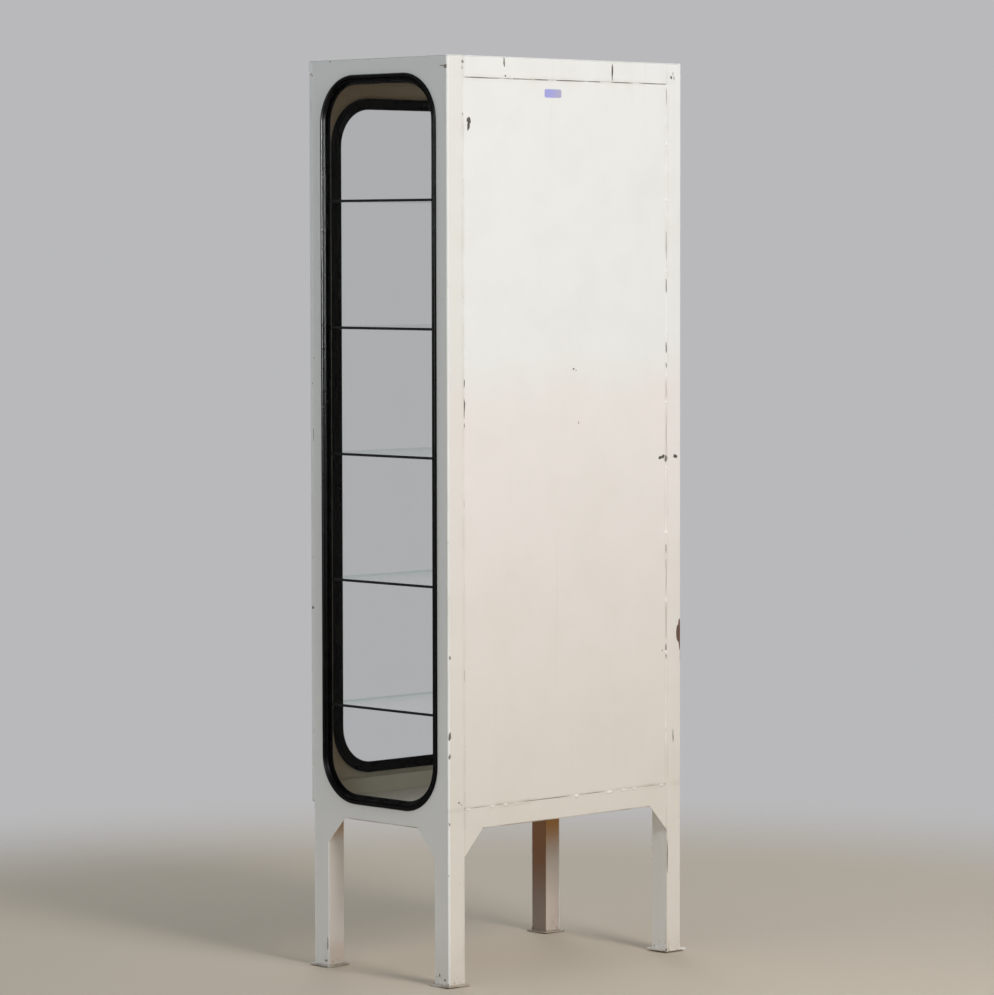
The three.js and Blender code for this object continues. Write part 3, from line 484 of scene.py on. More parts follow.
def dirt_and_shadow(coat, at):
    """How dirty and shaded the enamel is, one after another: drips, seams, feet, specks, the rear right leg,
    the sill a little darker, a painted shadow on the panel above the sill's step, soiling on edges, and a
    painted shadow line along the arches' under edges."""
    clean_leg = (at.x < 0.0) * (at.y > 0.0)
    between = abs(at.x) < RAIL_END
    drip = coat.noise(1.0, 3.0, (55.0, 55.0, 1.6))
    seam = abs(abs(at.x) - RAIL_END).at_most(abs(at.z - RAIL_BOTTOM)).at_most(abs(at.z - SILL_TOP))
    seam = seam.rise(9.0 * MM, 0.5 * MM) * at.on_back
    foot = at.z.rise(60.0 * MM, 4.0 * MM) * at.patch.rise(0.40, 0.66) * (1.0 - clean_leg * 0.7)
    plates = at.z.rise(7.0 * MM, 3.0 * MM) * (1.0 - clean_leg) * (0.45 + at.patch.rise(0.35, 0.60) * 0.4)
    speck = coat.noise(190.0, 3.0).rise(0.58, 0.66) * at.z.rise(34.0 * MM, 6.0 * MM)
    streak = coat.noise(1.0, 3.0, (16.0, 0.1, 0.1)).rise(0.42, 0.60)
    # Painted shadow on the panel just above the sill, streaked
    ledge_shadow = at.on_back * (at.z > SILL_TOP) * at.z.rise(SILL_TOP + 7.0 * MM, SILL_TOP) * between
    # Painted shadow line along the arches' under edges
    under_edge_shadow = ((abs(at.x) < LEG_INSIDE - GUSSET) + (abs(at.y) < LEG_BACK - GUSSET)).at_most(1.0)
    under_edge_shadow = under_edge_shadow * abs(at.z - ARCH_TOP).rise(2.8 * MM, 0.8 * MM)
    dirt_and_shade = drip.rise(0.62, 0.82) * 0.06 + seam * at.patch.rise(0.38, 0.62) * 0.12
    dirt_and_shade = dirt_and_shade + foot * 0.30 + plates + speck * 0.6
    dirt_and_shade = dirt_and_shade + at.z.rise(0.11, 0.01) * (at.x > 0.0) * (at.y > 0.0) * 0.10
    dirt_and_shade = dirt_and_shade + at.on_back * (at.z < SILL_TOP) * between * 0.035
    dirt_and_shade = dirt_and_shade + ledge_shadow * (0.10 + streak * 0.22) * (1.0 - at.worn)
    dirt_and_shade = dirt_and_shade + at.edge * at.patch.rise(0.50, 0.72) * 0.12
    return dirt_and_shade + under_edge_shadow * (0.40 + at.patch.rise(0.40, 0.60) * 0.5)


@made_once
def aged_enamel(coat, tone):
    """Cream enamel, mottled, yellower low on the back, with dirty patches, drips and rust; painted highlights
    on its edges and weld lumps, painted shade inside the case and on the front legs, and painted shadow above
    the sill and under the arches.
    """
    at = enamel_places(coat)
    colour = leg_shade_and_stain(coat, tone, at, shaded_inside(coat, tone, at, painted_highlights(coat, tone, at, warmer_lower(coat, tone, at))))
    dirt_and_shade = dirt_and_shadow(coat, at)
    colour = coat.blend(dirt_and_shade.at_most(0.85), colour, tone.grime_and_shade)
    chip = at.edge * at.fleck.rise(0.70, 0.715) + at.z.rise(22.0 * MM, 6.0 * MM) * at.fleck.rise(0.64, 0.67)
    chip = (chip + at.fleck.rise(0.80, 0.81)).at_most(1.0)
    under = coat.blend(at.patch.rise(0.45, 0.62), tone.bare_metal, tone.rust)
    colour = coat.blend(chip, colour, under)
    dusty_top = at.height.rise(1.2 * MM, 0.5 * MM) * at.side.rise(1.0 * MM, 6.0 * MM) * 0.35
    dull = dusty_top + at.on_back * 0.14
    roughness = tone.enamel_roughness + at.cloud * 0.12 + dirt_and_shade * 0.35 + chip * 0.25 + dull
    waves = coat.bump(coat.noise(7.0, 1.0), 0.9 * MM)
    relief = coat.bump(coat.noise(420.0, 2.0) * 0.35 - chip * 3.0, 0.12 * MM, Normal=waves)
    return coat.done(base_color=colour, roughness=roughness, normal=relief)


@made_once
def inside_gloss(coat, tone):
    """The smoother enamel of the floor and the shelf standards inside the case."""
    cloud = coat.noise(8.0, 4.0)
    stain = coat.noise(30.0, 5.0).rise(0.58, 0.80)
    colour = coat.blend(cloud.rise(0.40, 0.80) * 0.3, tone.floor_enamel, tone.aged_enamel)
    colour = coat.blend(stain * 0.25, colour, tone.grime_and_shade)
    relief = coat.bump(coat.noise(260.0, 2.0), 0.05 * MM)
    return coat.done(base_color=colour, roughness=0.24 + cloud * 0.12 + stain * 0.2, normal=relief)


@made_once
def black_rubber(coat, tone):
    """Black extruded rubber, dull, chalky on the crests of its ridges, which also serves as a faint painted
    highlight along them, and polished by hands high up at the front of the side windows."""
    crest = coat.value("crest")
    cloud = coat.noise(22.0, 4.0)
    # Dust on the crests, also a faint painted highlight along them
    crest_dust_and_highlight = crest.rise(0.55, 1.0) * cloud.rise(0.40, 0.70) * 0.02 + cloud.rise(0.55, 0.85) * 0.006
    x, y, z = coat.split(coat.place)
    handled = (abs(x) > HALF_WIDTH - 20.0 * MM) * y.rise(-0.120, -0.145) * z.rise(0.50, 1.30)
    return coat.done(
        base_color=coat.blend(crest_dust_and_highlight, tone.rubber, tone.dust), roughness=0.22 + cloud * 0.10,
        specular_ior_level=0.06, normal=coat.bump(coat.noise(900.0, 2.0), 0.01 * MM),
        coat_weight=handled * (0.25 + crest.rise(0.2, 0.8) * 0.5), coat_roughness=0.2)


def part_mirror(coat, through, roughness, least, most):
    """A surface that lets a colour through and is a mirror by a share, which grows as it turns away."""
    turned = coat.node("ShaderNodeLayerWeight", {}, {"Blend": 0.5}).output("Facing")
    open_glass = coat.coloured("ShaderNodeBsdfTransparent", through)
    mirror = coat.coloured("ShaderNodeBsdfGlossy", (1.0, 1.0, 1.0), Roughness=roughness)
    return coat.mixed(least + turned ** 5.0 * most, open_glass, mirror)


@made_once
def clear_glass(coat, tone):
    """Clear glass with a trace of dust."""
    clean = part_mirror(coat, tone.glass, 0.03, 0.002, 0.85)
    smear = coat.noise(9.0, 5.0).rise(0.50, 0.90) * 0.005
    return coat.ended(coat.mixed(smear, clean, coat.coloured("ShaderNodeBsdfDiffuse", tone.dust)))


@made_once
def polished_edge(coat, tone):
    """The polished front edge of a glass shelf: green glass, a little scuffed."""
    scuffed = coat.noise(120.0, 3.0).rise(0.45, 0.80) * 0.10
    return coat.ended(part_mirror(coat, tone.polished_glass, 0.08, 0.04 + scuffed, 0.80))


@made_once
def ground_edge(coat, tone):
    """The ground edge of a glass shelf, which looks nearly black."""
    grain = coat.noise(160.0, 3.0)
    colour = coat.blend(grain.rise(0.60, 0.85) * 0.06, tone.glass_edge, tone.dust)
    return coat.done(base_color=colour, roughness=0.24 + grain * 0.2, specular_ior_level=0.15)


@made_once
def bright_chrome(coat, tone):
    """Plated metal with faint wear and fine pits."""
    cloud = coat.noise(35.0, 4.0)
    pit = coat.noise(420.0, 3.0).rise(0.70, 0.76)
    colour = coat.blend(pit * 0.7, tone.chrome, tone.bare_metal)
    relief = coat.bump(cloud, 0.03 * MM)
    roughness = 0.10 + cloud * 0.16 + pit * 0.3
    return coat.done(base_color=colour, metallic=1.0, roughness=roughness, normal=relief)


@made_once
def plain_steel(coat, tone):
    """Plain steel, dulled and specked with rust."""
    cloud = coat.noise(70.0, 5.0)
    spot = cloud.rise(0.60, 0.70)
    colour = coat.blend(spot * 0.6, tone.steel, tone.rust)
    relief = coat.bump(coat.noise(1.0, 3.0, (900.0, 900.0, 60.0)), 0.03 * MM)
    roughness = 0.32 + cloud * 0.2 + spot * 0.2
    return coat.done(base_color=colour, metallic=1.0 - spot * 0.7, roughness=roughness, normal=relief)


@made_once
def chips_and_painted_shadow(coat, tone):
    """Chipped paint, from pale primer to dark bare metal or rust, as the chip's own attributes say; the same
    dark marks draw the painted shadow under the back's top rail.
    """
    cloud = coat.noise(150.0, 4.0)
    deep = coat.value("bare") * (1.0 - coat.value("rim").rise(0.6, 1.0) * 0.35) * (0.8 + cloud * 0.4)
    colour = coat.blend(deep.at_most(1.0), tone.faded_chip, tone.bare_metal)
    colour = coat.blend((coat.value("rusty") * (0.55 + cloud * 0.8)).at_most(1.0), colour, tone.rust)
    return coat.done(base_color=colour, roughness=0.72, normal=coat.bump(cloud, 0.15 * MM))


@made_once
def blank_label(coat, tone):
    """A plain label that fades from one end to the other and is scuffed pale in places."""
    x, _, _ = coat.split(coat.place)
    fade = x.rise(LABEL_X + 10.0 * MM, LABEL_X - 18.0 * MM) * 0.75
    pale = coat.noise(90.0, 4.0).rise(0.45, 0.80) * 0.3
    colour = coat.blend((fade + pale).at_most(0.9), tone.label, tone.faded_label)
    return coat.done(base_color=colour, roughness=0.5)


def sizes():
    return bpy.context.scene.cabinet_sizes


def body_of(node):
    return frame["nodes"][node]["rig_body"]


def corners(node):
    """A node's low and high corners as arrays."""
    return [np.array(corner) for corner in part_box(node)]


def underside(node):
    """The middle of a node's underside."""
    low, high = corners(node)
    return np.append((low + high)[:2] / 2, low[2])


def add_piece(
        name, points, faces, finishes, slot="case_paint", body="cabinet",
        stands_for=(), soft_angle=SOFT_ANGLE):
    """Puts points and faces into a mesh object at the origin, with its faces turned outwards."""
    mesh = bpy.data.meshes.new(name)
    mesh.from_pydata(points.tolist(), [], faces)
    shell = bmesh.new()
    shell.from_mesh(mesh)
    bmesh.ops.remove_doubles(shell, verts=shell.verts, dist=MERGE)
    bmesh.ops.recalc_face_normals(shell, faces=shell.faces)
    shell.to_mesh(mesh)
    shell.free()
    return finish_piece(name, mesh, finishes, body, stands_for, soft_angle)


def finish_piece(name, mesh, finishes, body, stands_for, soft_angle):
    """Gives a mesh its finishes and smooth shading, and hangs it on its body."""
    for finish in finishes:
        mesh.materials.append(finish)
    mesh.shade_smooth()
    mesh.set_sharp_from_angle(angle=math.radians(soft_angle))
    piece = bpy.data.objects.new(name, mesh)
    bpy.context.scene.collection.objects.link(piece)
    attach(piece, body)
    if stands_for:
        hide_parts(*stands_for)
    return piece


def stand_in(node, points, faces, finishes, slot):
    """A piece that takes the place of a node of the frame."""
    return add_piece(f"{node}_finished", points, faces, finishes, slot, body_of(node), (node,))


def softened(node, finish, arris):
    """A copy of a node of the frame with its corners merged, its flats joined and its edges rounded."""
    corner_size, flat, sharp = 0.002 * MM, math.radians(0.5), math.radians(SHARP_ANGLE)
    shell = bmesh.new()
    shell.from_mesh(frame["nodes"][node].data)
    bmesh.ops.remove_doubles(shell, verts=shell.verts, dist=corner_size)
    bmesh.ops.dissolve_limit(shell, angle_limit=flat, verts=shell.verts, edges=shell.edges)
    mesh = bpy.data.meshes.new(f"{node}_finished")
    shell.to_mesh(mesh)
    shell.free()
    piece = finish_piece(mesh.name, mesh, [finish], body_of(node), (node,), SHARP_ANGLE)
    bevel = piece.modifiers.new("arris", "BEVEL")
    bevel.width = arris
    bevel.segments = 2
    bevel.limit_method = "ANGLE"
    bevel.angle_limit = sharp
    normals = piece.modifiers.new("flats", "WEIGHTED_NORMAL")
    normals.keep_sharp = True


def soften_all(looks):
    """Softens each node whose slot has a look, a finish and an arris, and that has no piece of its own."""
    for row in frame["record"]["subparts"]:
        node, slot = row["node"], row["material_slot"]
        if slot in looks and node not in OWN_PIECES:
            finish, arris = looks[slot]
            softened(node, finish(), arris)


def set_values(piece, name, values):
    """Gives each point of a piece its own number, which a finish can read."""
    numbers = piece.data.attributes.new(name, "FLOAT", "POINT")
    numbers.data.foreach_set("value", values.astype(np.float32))


def skin(rings, closed):
    """Quads from each ring of points to the next, and from the last to the first or a face over each end."""
    index = np.arange(rings[..., 0].size).reshape(rings.shape[:2])
    if closed:
        index = np.concatenate([index, index[:1]])
    after = np.roll(index, -1, axis=1)
    faces = np.stack([index[:-1], after[:-1], after[1:], index[1:]], axis=-1).reshape(-1, 4).tolist()
    if not closed:
        faces += [index[0, ::-1].tolist(), index[-1].tolist()]
    return rings.reshape(-1, 3), faces


def rounded_path(width, height, radius, corner_steps, straight_steps):
    """Stations round a rectangle with round corners: at each the centre that it turns about and its outward
    direction, so that centre plus any radius times the direction is a path beside it."""
    centres, ways = [], []
    turns = np.array([(1, 1), (-1, 1), (-1, -1), (1, -1)]) * (width / 2 - radius, height / 2 - radius)
    for corner in range(4):
        heading = (corner + np.linspace(0.0, 1.0, corner_steps + 1)) * math.pi / 2
        along = np.linspace(0.0, 1.0, straight_steps + 1)[1:-1, None]
        way = np.stack([np.cos(heading), np.sin(heading)], axis=-1)
        start, end = turns[corner], turns[(corner + 1) % 4]
        centres += [np.repeat(start[None], corner_steps + 1, axis=0), start + along * (end - start)]
        ways += [way, np.repeat(way[-1:], len(along), axis=0)]
    return np.concatenate(centres), np.concatenate(ways)


def edged_plate(width, height, thick, radius, steps, arris):
    """A flat plate with round corners as rings of its outline, inset by the arris at its two faces."""
    centre, way = rounded_path(width, height, radius, *steps)
    levels = np.array([(arris, 0.0), (0.0, arris), (0.0, thick - arris), (arris, thick)])
    inset, level = levels.T[..., None, None]
    flat = centre + (radius - inset) * way
    return np.concatenate([flat, np.broadcast_to(level, (*flat.shape[:2], 1))], axis=-1)


def arc(centre, radii, start, end, steps):
    """Points of an elliptic arc: the centre plus the radii times the cosine and sine of the angle."""
    heading = np.radians(np.linspace(start, end, steps + 1))
    return np.stack([centre[0] + radii[0] * np.cos(heading), centre[1] + radii[1] * np.sin(heading)], axis=-1)


def window_plane(window):
    """A window's middle on the outer face of its sheet, the directions across, up and out, and its size."""
    low, high = corners(f"{window}_rubber_frame")
    thin = int(np.argmin(high - low))
    across, up, out = np.zeros(3), np.array([0.0, 0.0, 1.0]), np.zeros(3)
    out[thin] = math.copysign(1.0, low[thin] + high[thin])
    across[1 - thin] = 1.0
    middle = (low + high) / 2
    outermost = high[thin] if out[thin] > 0 else low[thin]
    middle[thin] = outermost - out[thin] * sizes().rubber_rise
    return middle, across, up, out, high[1 - thin] - low[1 - thin], high[2] - low[2]


def carried_ring(window, section):
    """A closed section carried round a window. A section point (inwards, outwards) goes inwards from the
    rubber's outside and outwards from the sheet; slow sines along the path shift what is outside."""
    size = sizes()
    middle, across, up, out, width, height = window_plane(window)
    centre, way = rounded_path(width, height, size.window_radius, size.corner_steps, size.straight_steps)
    step = np.linalg.norm(np.diff(centre + way, axis=0, append=(centre + way)[:1]), axis=1)
    along = np.concatenate([[0.0], np.cumsum(step)[:-1]]) / step.sum() * TURN
    sines = np.sin(23 * along) + 0.7 * np.sin(41 * along + 1.3) + 0.5 * np.sin(67 * along + 0.4)
    uneven = size.rubber_wave * sines / 2.2
    reach = size.window_radius - section[None, :, 0]
    flat = centre[:, None, :] + reach[..., None] * way[:, None, :]
    lift = section[None, :, 1] + uneven[:, None] * (section[None, :, 1] > NEAR)
    points = middle + flat[..., :1] * across + flat[..., 1:] * up + lift[..., None] * out
    return skin(points, True)


def lip_section():
    """The outer lip's section: a flat-topped dome over its width, with ridges as a cosine on top of it. Also
    how far each point is on a ridge's crest."""
    size = sizes()
    share = np.linspace(0.0, 1.0, 8 * size.lip_ridges + 1)
    dome = (1.0 - np.abs(2.0 * share - 1.0) ** 2.6) ** 0.7
    ridge = 0.5 - 0.5 * np.cos(TURN * size.lip_ridges * share)
    inwards = -size.lip_overlap + (size.rubber_lip + size.lip_overlap) * share
    outwards = GAP + (size.lip_bulge - GAP) * dome * (0.84 + 0.16 * ridge)
    return np.stack([inwards, outwards], axis=-1), ridge * (dome > 0.5)


def rubber_section(window):
    """The rubber's section: a ridged outer lip, the filler strip's seat, a lip that slopes to the glass, the
    slot for the glass, a full inner bead and the slot for the sheet. Also how far a point is on a crest."""
    size = sizes()
    low, high = corners(f"{window}_rubber_frame")
    glass_low, glass_high = corners(f"{window}_glass")
    thin = int(np.argmin(high - low))
    outward = high[thin] + low[thin] > 0
    depth = (high - low)[thin] - size.rubber_rise
    set_back = (high[thin] - glass_high[thin] if outward else glass_low[thin] - low[thin]) - size.rubber_rise
    pane_front = GAP - set_back
    pane_back = -GAP - set_back - (glass_high - glass_low)[thin]
    pane_edge = (glass_low - low)[1 - thin] - GAP
    sheet_back = -SHEET - GAP
    lip, width, bite = size.rubber_lip, size.bead_width, size.sheet_bite
    strip_end = lip + size.strip_width
    inner_lip = (1.0 * MM, 1.3 * MM)
    bead = (2.2 * MM, 2.2 * MM * 0.9)
    spread = size.door_bead_spread if window == "door" else 0.0
    outer, crest = lip_section()
    rest = np.concatenate([
        [(lip, -size.strip_seat), (strip_end, -size.strip_seat)],
        arc((strip_end + inner_lip[0], 0.2 * MM), inner_lip, 180.0, 20.0, 5),
        [(size.glass_lip, pane_front + GAP), (size.glass_lip, pane_front), (pane_edge, pane_front)],
        [(pane_edge, pane_back), (width, pane_back)],
        arc((width - bead[0], bead[1] - depth), bead, 0.0, -90.0, 5),
        arc((bead[0] - spread, bead[1] - depth), bead, -90.0, -180.0, 5),
        [(-spread, sheet_back), (bite, sheet_back), (bite, GAP)],
    ])
    crests = np.zeros(len(rest))
    crests[3:6] = (0.6, 1.0, 0.6)
    return np.concatenate([outer, rest]), np.concatenate([crest, crests])


def strip_section():
    """The filler strip's section: a half round bead in its seat. Also how far each point is on its crest."""
    size = sizes()
    steps = 8
    middle = size.rubber_lip + size.strip_width / 2
    half = size.strip_width / 2 - GAP
    bead = arc((middle, 0.6 * MM), (half, 1.5 * MM), 0.0, 180.0, steps)
    foot = [(middle - half, GAP - size.strip_seat), (middle + half, GAP - size.strip_seat)]
    crest = np.sin(np.linspace(0.0, math.pi, steps + 1)) ** 6 * 0.8
    return np.concatenate([bead, foot]), np.concatenate([crest, [0.0, 0.0]])


def panel_bow(x, z):
    """How far the back panel stands out of flat: a low crown, two slow ripples and three shallow dents, all
    of which die out at its edges."""
    u = np.clip((x + RAIL_END) / (2 * RAIL_END), 0.0, 1.0)
    v = np.clip((z - SILL_TOP) / (RAIL_BOTTOM - SILL_TOP), 0.0, 1.0)
    held = np.sin(math.pi * u) * np.sin(math.pi * v)
    ripple = 0.35 * np.sin(7.0 * u + 9.0 * v) + 0.25 * np.sin(5.0 * u - 14.0 * v + 1.0)
    dents = sum(depth * np.exp(-((u - du) ** 2 * 60.0 + (v - dv) ** 2 * 240.0))
                for du, dv, depth in ((0.30, 0.42, 0.5), (0.62, 0.60, 0.4), (0.45, 0.16, 0.45)))
    return sizes().panel_bow * held * np.clip(0.55 + ripple - dents, 0.0, 1.0)


def seam_width(z):
    """The width of the paint in an upright seam, which swells and narrows by two sines of the height."""
    return sizes().seam_paint * (1.0 + 0.18 * np.sin(61.0 * z) + 0.12 * np.sin(143.0 * z + 1.0))


def back_face(x, z):
    """Where the outside of the back is: on the bowed panel, up the paint in its upright seams, on its frame
    or round the folded corner. The paint rises as a power of how near the seam's edge is."""
    radius = sizes().bend_radius
    turn = np.clip(np.abs(x) - (HALF_WIDTH - radius), 0.0, radius)
    framed = BACK - radius + np.sqrt(np.maximum(radius ** 2 - turn ** 2, 0.0))
    on_panel = (np.abs(x) < RAIL_END) & (z > SILL_TOP) & (z < RAIL_BOTTOM)
    near = np.clip(1.0 - (RAIL_END - np.abs(x)) / seam_width(z), 0.0, 1.0)
    return np.where(on_panel, PANEL_FACE + panel_bow(x, z) + (BACK - PANEL_FACE) * near ** 1.4, framed)


def back_place(across, height, lift):
    """Points on the outside of the back, lifted off it; none goes past its corners or far out of its face."""
    x = np.clip(across, -HALF_WIDTH, HALF_WIDTH)
    y = np.minimum(back_face(x, height) + lift, BACK + np.abs(lift))
    return np.stack([x, y, height], axis=-1)


def right_place(across, height, lift):
    """Points on the outside of the right side, lifted off it."""
    return np.stack([HALF_WIDTH + lift, across, height], axis=-1)


def left_place(across, height, lift):
    """Points on the outside of the left side, lifted off it."""
    return np.stack([-HALF_WIDTH - lift, across, height], axis=-1)


def door_place(across, height, lift):
    """Points on the outside of the door, lifted off it."""
    return np.stack([across, DOOR_FACE - lift, height], axis=-1)


def flakes(marks, place, rings, around, lift, ragged, seed):
    """Ragged round marks on a face. Each is a stack of rings about (across, height) with half sizes; sines of
    the angle pull its outline in and out, it stands off the face by a low dome, and its last ring lies under
    the face. Also returns how far out each point is, and the rest of its mark's numbers."""
    draw = np.random.default_rng(seed)
    heading = np.linspace(0.0, TURN, around, endpoint=False)
    sines = 4
    phase = draw.uniform(0.0, TURN, (len(marks), sines))
    waves = sum(np.sin((k + 2) * heading[None] + phase[:, k, None]) / (k + 1.6) for k in range(sines))
    share = np.append(np.linspace(0.0, 1.0, rings + 1)[1:], 1.0)
    spread = share[None, :, None] * (1.0 + ragged * waves)[:, None, :]
    across, height, half_width, half_height = marks.T[:4, :, None, None]
    dome = lift * (1.0 - share ** 2)[None, :, None] * np.ones_like(spread)
    dome[:, -1] = -UNDER_FACE
    points = place(
        across + half_width * spread * np.cos(heading), height + half_height * spread * np.sin(heading), dome)
    index = np.arange(spread.size).reshape(spread.shape)
    after = np.roll(index, -1, axis=2)
    quads = np.stack([index[:, :-1], index[:, 1:], after[:, 1:], after[:, :-1]], axis=-1).reshape(-1, 4)
    caps = index[:, 0].tolist() + index[:, -1, ::-1].tolist()
    values = [np.broadcast_to(share[None, :, None], spread.shape).ravel()]
    values += [np.repeat(column, spread[0].size) for column in marks[:, 4:].T]
    return points.reshape(-1, 3), quads.tolist() + caps, values


def add_chips(name, rows, place, seed, body="cabinet"):
    """Chips in the paint from rows of across, height, half width and half height in millimetres, how bare the
    metal is and how rusty."""
    marks = np.array(rows) * (MM, MM, MM, MM, 1.0, 1.0)
    points, faces, values = flakes(marks, place, rings=3, around=26, lift=0.10 * MM, ragged=0.22, seed=seed)
    piece = add_piece(name, points, faces, [chips_and_painted_shadow()], body=body)
    for attribute, numbers in zip(("rim", "bare", "rusty"), values):
        set_values(piece, attribute, numbers)


class CABINET_OT_sheet_metal(Operator):
    """Give the folded sheet of the case and door rounded edges and aged enamel"""

    bl_idname = "cabinet.sheet_metal"
    bl_label = "Sheet Metal"

    def execute(self, context):
        arris = sizes().sheet_arris
        soften_all({"case_paint": (aged_enamel, arris), "inside_paint": (inside_gloss, arris)})
        return {"FINISHED"}


class CABINET_OT_metal_fittings(Operator):
    """Give the handle, lock, latch and hinge pins rounded edges and their metal"""

    bl_idname = "cabinet.metal_fittings"
    bl_label = "Metal Fittings"

    def execute(self, context):
        size = sizes()
        soften_all({
            "handle_chrome": (bright_chrome, size.handle_arris),
            "bare_steel": (plain_steel, size.sheet_arris),
        })
        return {"FINISHED"}


class CABINET_OT_window_rubber(Operator):
    """Carry the rubber's section and the filler strip round each window"""

    bl_idname = "cabinet.window_rubber"
    bl_label = "Window Rubber"

    def execute(self, context):
        for window in WINDOWS:
            sections = {"rubber_frame": rubber_section(window), "filler_strip": strip_section()}
            for part, (section, crest) in sections.items():
                points, faces = carried_ring(window, section)
                piece = stand_in(f"{window}_{part}", points, faces, [black_rubber()], "window_rubber")
                set_values(piece, "crest", np.tile(crest, len(points) // len(crest)))
        return {"FINISHED"}


class CABINET_OT_window_glass(Operator):
    """Make each window's pane with a ground edge"""

    bl_idname = "cabinet.window_glass"
    bl_label = "Window Glass"

    def execute(self, context):
        size = sizes()
        for window in WINDOWS:
            node = f"{window}_glass"
            low, high = corners(node)
            middle, across, up, out, _, _ = window_plane(window)
            thin = int(np.argmax(np.abs(out)))
            width, height, thick = (high - low)[[1 - thin, 2, thin]]
            radius = size.window_radius - (low[2] - corners(f"{window}_rubber_frame")[0][2])
            local = edged_plate(width, height, thick, radius, (size.corner_steps, 1), size.glass_arris)
            middle[thin] = 0.0
            local[..., 2] += low[thin] if out[thin] > 0 else -high[thin]
            points = middle + local[..., :1] * across + local[..., 1:2] * up + local[..., 2:] * out
            stand_in(node, *skin(points, False), [clear_glass()], "window_glass")
        return {"FINISHED"}


class CABINET_OT_shelves(Operator):
    """Make the glass shelves with a polished front edge and dark ground edges"""

    bl_idname = "cabinet.shelves"
    bl_label = "Glass Shelves"

    def execute(self, context):
        size = sizes()
        for node in SHELVES:
            low, high = corners(node)
            plate = edged_plate(*(high - low), size.shelf_corner, SHELF_STEPS, size.glass_arris)
            finishes = [clear_glass(), ground_edge(), polished_edge()]
            shelf = stand_in(node, *skin(plate + underside(node), False), finishes, "shelf_glass")
            ways = np.empty(len(shelf.data.polygons) * 3)
            shelf.data.polygons.foreach_get("normal", ways)
            _, forward, rise = ways.reshape(-1, 3).T
            at_edge = np.abs(rise) < 0.9
            in_front = at_edge & (forward < -0.5)
            shelf.data.polygons.foreach_set("material_index", at_edge.astype(np.int32) + in_front)
        return {"FINISHED"}


class CABINET_OT_back_panel(Operator):
    """Make the back panel as a sheet that is sprung a little out of flat"""

    bl_idname = "cabinet.back_panel"
    bl_label = "Back Panel"

    def execute(self, context):
        low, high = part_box("back_panel")
        columns, rows = 61, 121
        x, z = np.meshgrid(np.linspace(low.x, high.x, columns), np.linspace(low.z, high.z, rows))
        points = np.stack([x, PANEL_FACE + panel_bow(x, z), z], axis=-1)
        index = np.arange(x.size).reshape(x.shape)
        quads = np.stack([index[:-1, :-1], index[1:, :-1], index[1:, 1:], index[:-1, 1:]], axis=-1)
        mesh = bpy.data.meshes.new("back_panel_finished")
        mesh.from_pydata(points.reshape(-1, 3).tolist(), [], quads.reshape(-1, 4).tolist())
        panel = finish_piece(
            mesh.name, mesh, [aged_enamel()], body_of("back_panel"),
            ("back_panel",), SOFT_ANGLE)
        sheet = panel.modifiers.new("sheet", "SOLIDIFY")
        sheet.thickness = PANEL_SHEET
        sheet.offset = -1.0
        return {"FINISHED"}


class CABINET_OT_foot_plates(Operator):
    """Make the foot plates, bent up a little at their edges: the lift is a power of how far out a point is"""

    bl_idname = "cabinet.foot_plates"
    bl_label = "Foot Plates"

    def execute(self, context):
        size = sizes()
        outwards = np.array([0.04, 0.3, 0.6, 0.76, 0.86, 0.93, 0.98, 1.0])
        share = np.concatenate([outwards, outwards[::-1]])[:, None]
        for turn, node in enumerate(FOOT_PLATES):
            low, high = corners(node)
            side, _, thick = high - low
            centre, way = rounded_path(side, side, size.foot_corner, corner_steps=4, straight_steps=10)
            ring = (centre + size.foot_corner * way)[None] * share[..., None]
            heading = np.arctan2(ring[..., 1], ring[..., 0])
            lift = size.foot_lift * share ** 7 * (0.6 + 0.4 * np.sin(2 * heading + 1.9 * turn))
            if node == SPRUNG_PLATE:
                lift = size.sprung_lift * share ** 4 * (0.75 + 0.25 * np.cos(heading - math.pi / 4))
            level = np.repeat([thick, 0.0], len(outwards))[:, None] + lift
            points = np.concatenate([ring, level[..., None]], axis=-1) + underside(node)
            stand_in(node, *skin(points, False), [aged_enamel()], "case_paint")
        return {"FINISHED"}


class CABINET_OT_fascia_ends(Operator):
    """Close the two ends of the lid's fascia with folded tabs"""

    bl_idname = "cabinet.fascia_ends"
    bl_label = "Fascia Ends"

    def execute(self, context):
        front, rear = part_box("lid")[0].y + GAP, -BACK - GAP
        bottom, top = DOOR_TOP + 2.0 * MM, TOP - PANEL_SHEET - 0.1 * MM
        thick, radius, arris = 1.3 * MM, 1.2 * MM, 0.4 * MM
        local = edged_plate(rear - front, top - bottom, thick, radius, TAB_STEPS, arris)
        for which, sign in SIDES.items():
            points = np.stack([
                sign * (HALF_WIDTH - thick + local[..., 2]),
                (front + rear) / 2 + local[..., 0],
                (bottom + top) / 2 + local[..., 1],
            ], axis=-1)
            add_piece(f"{which}_fascia_end", *skin(points, False), [aged_enamel()])
        return {"FINISHED"}


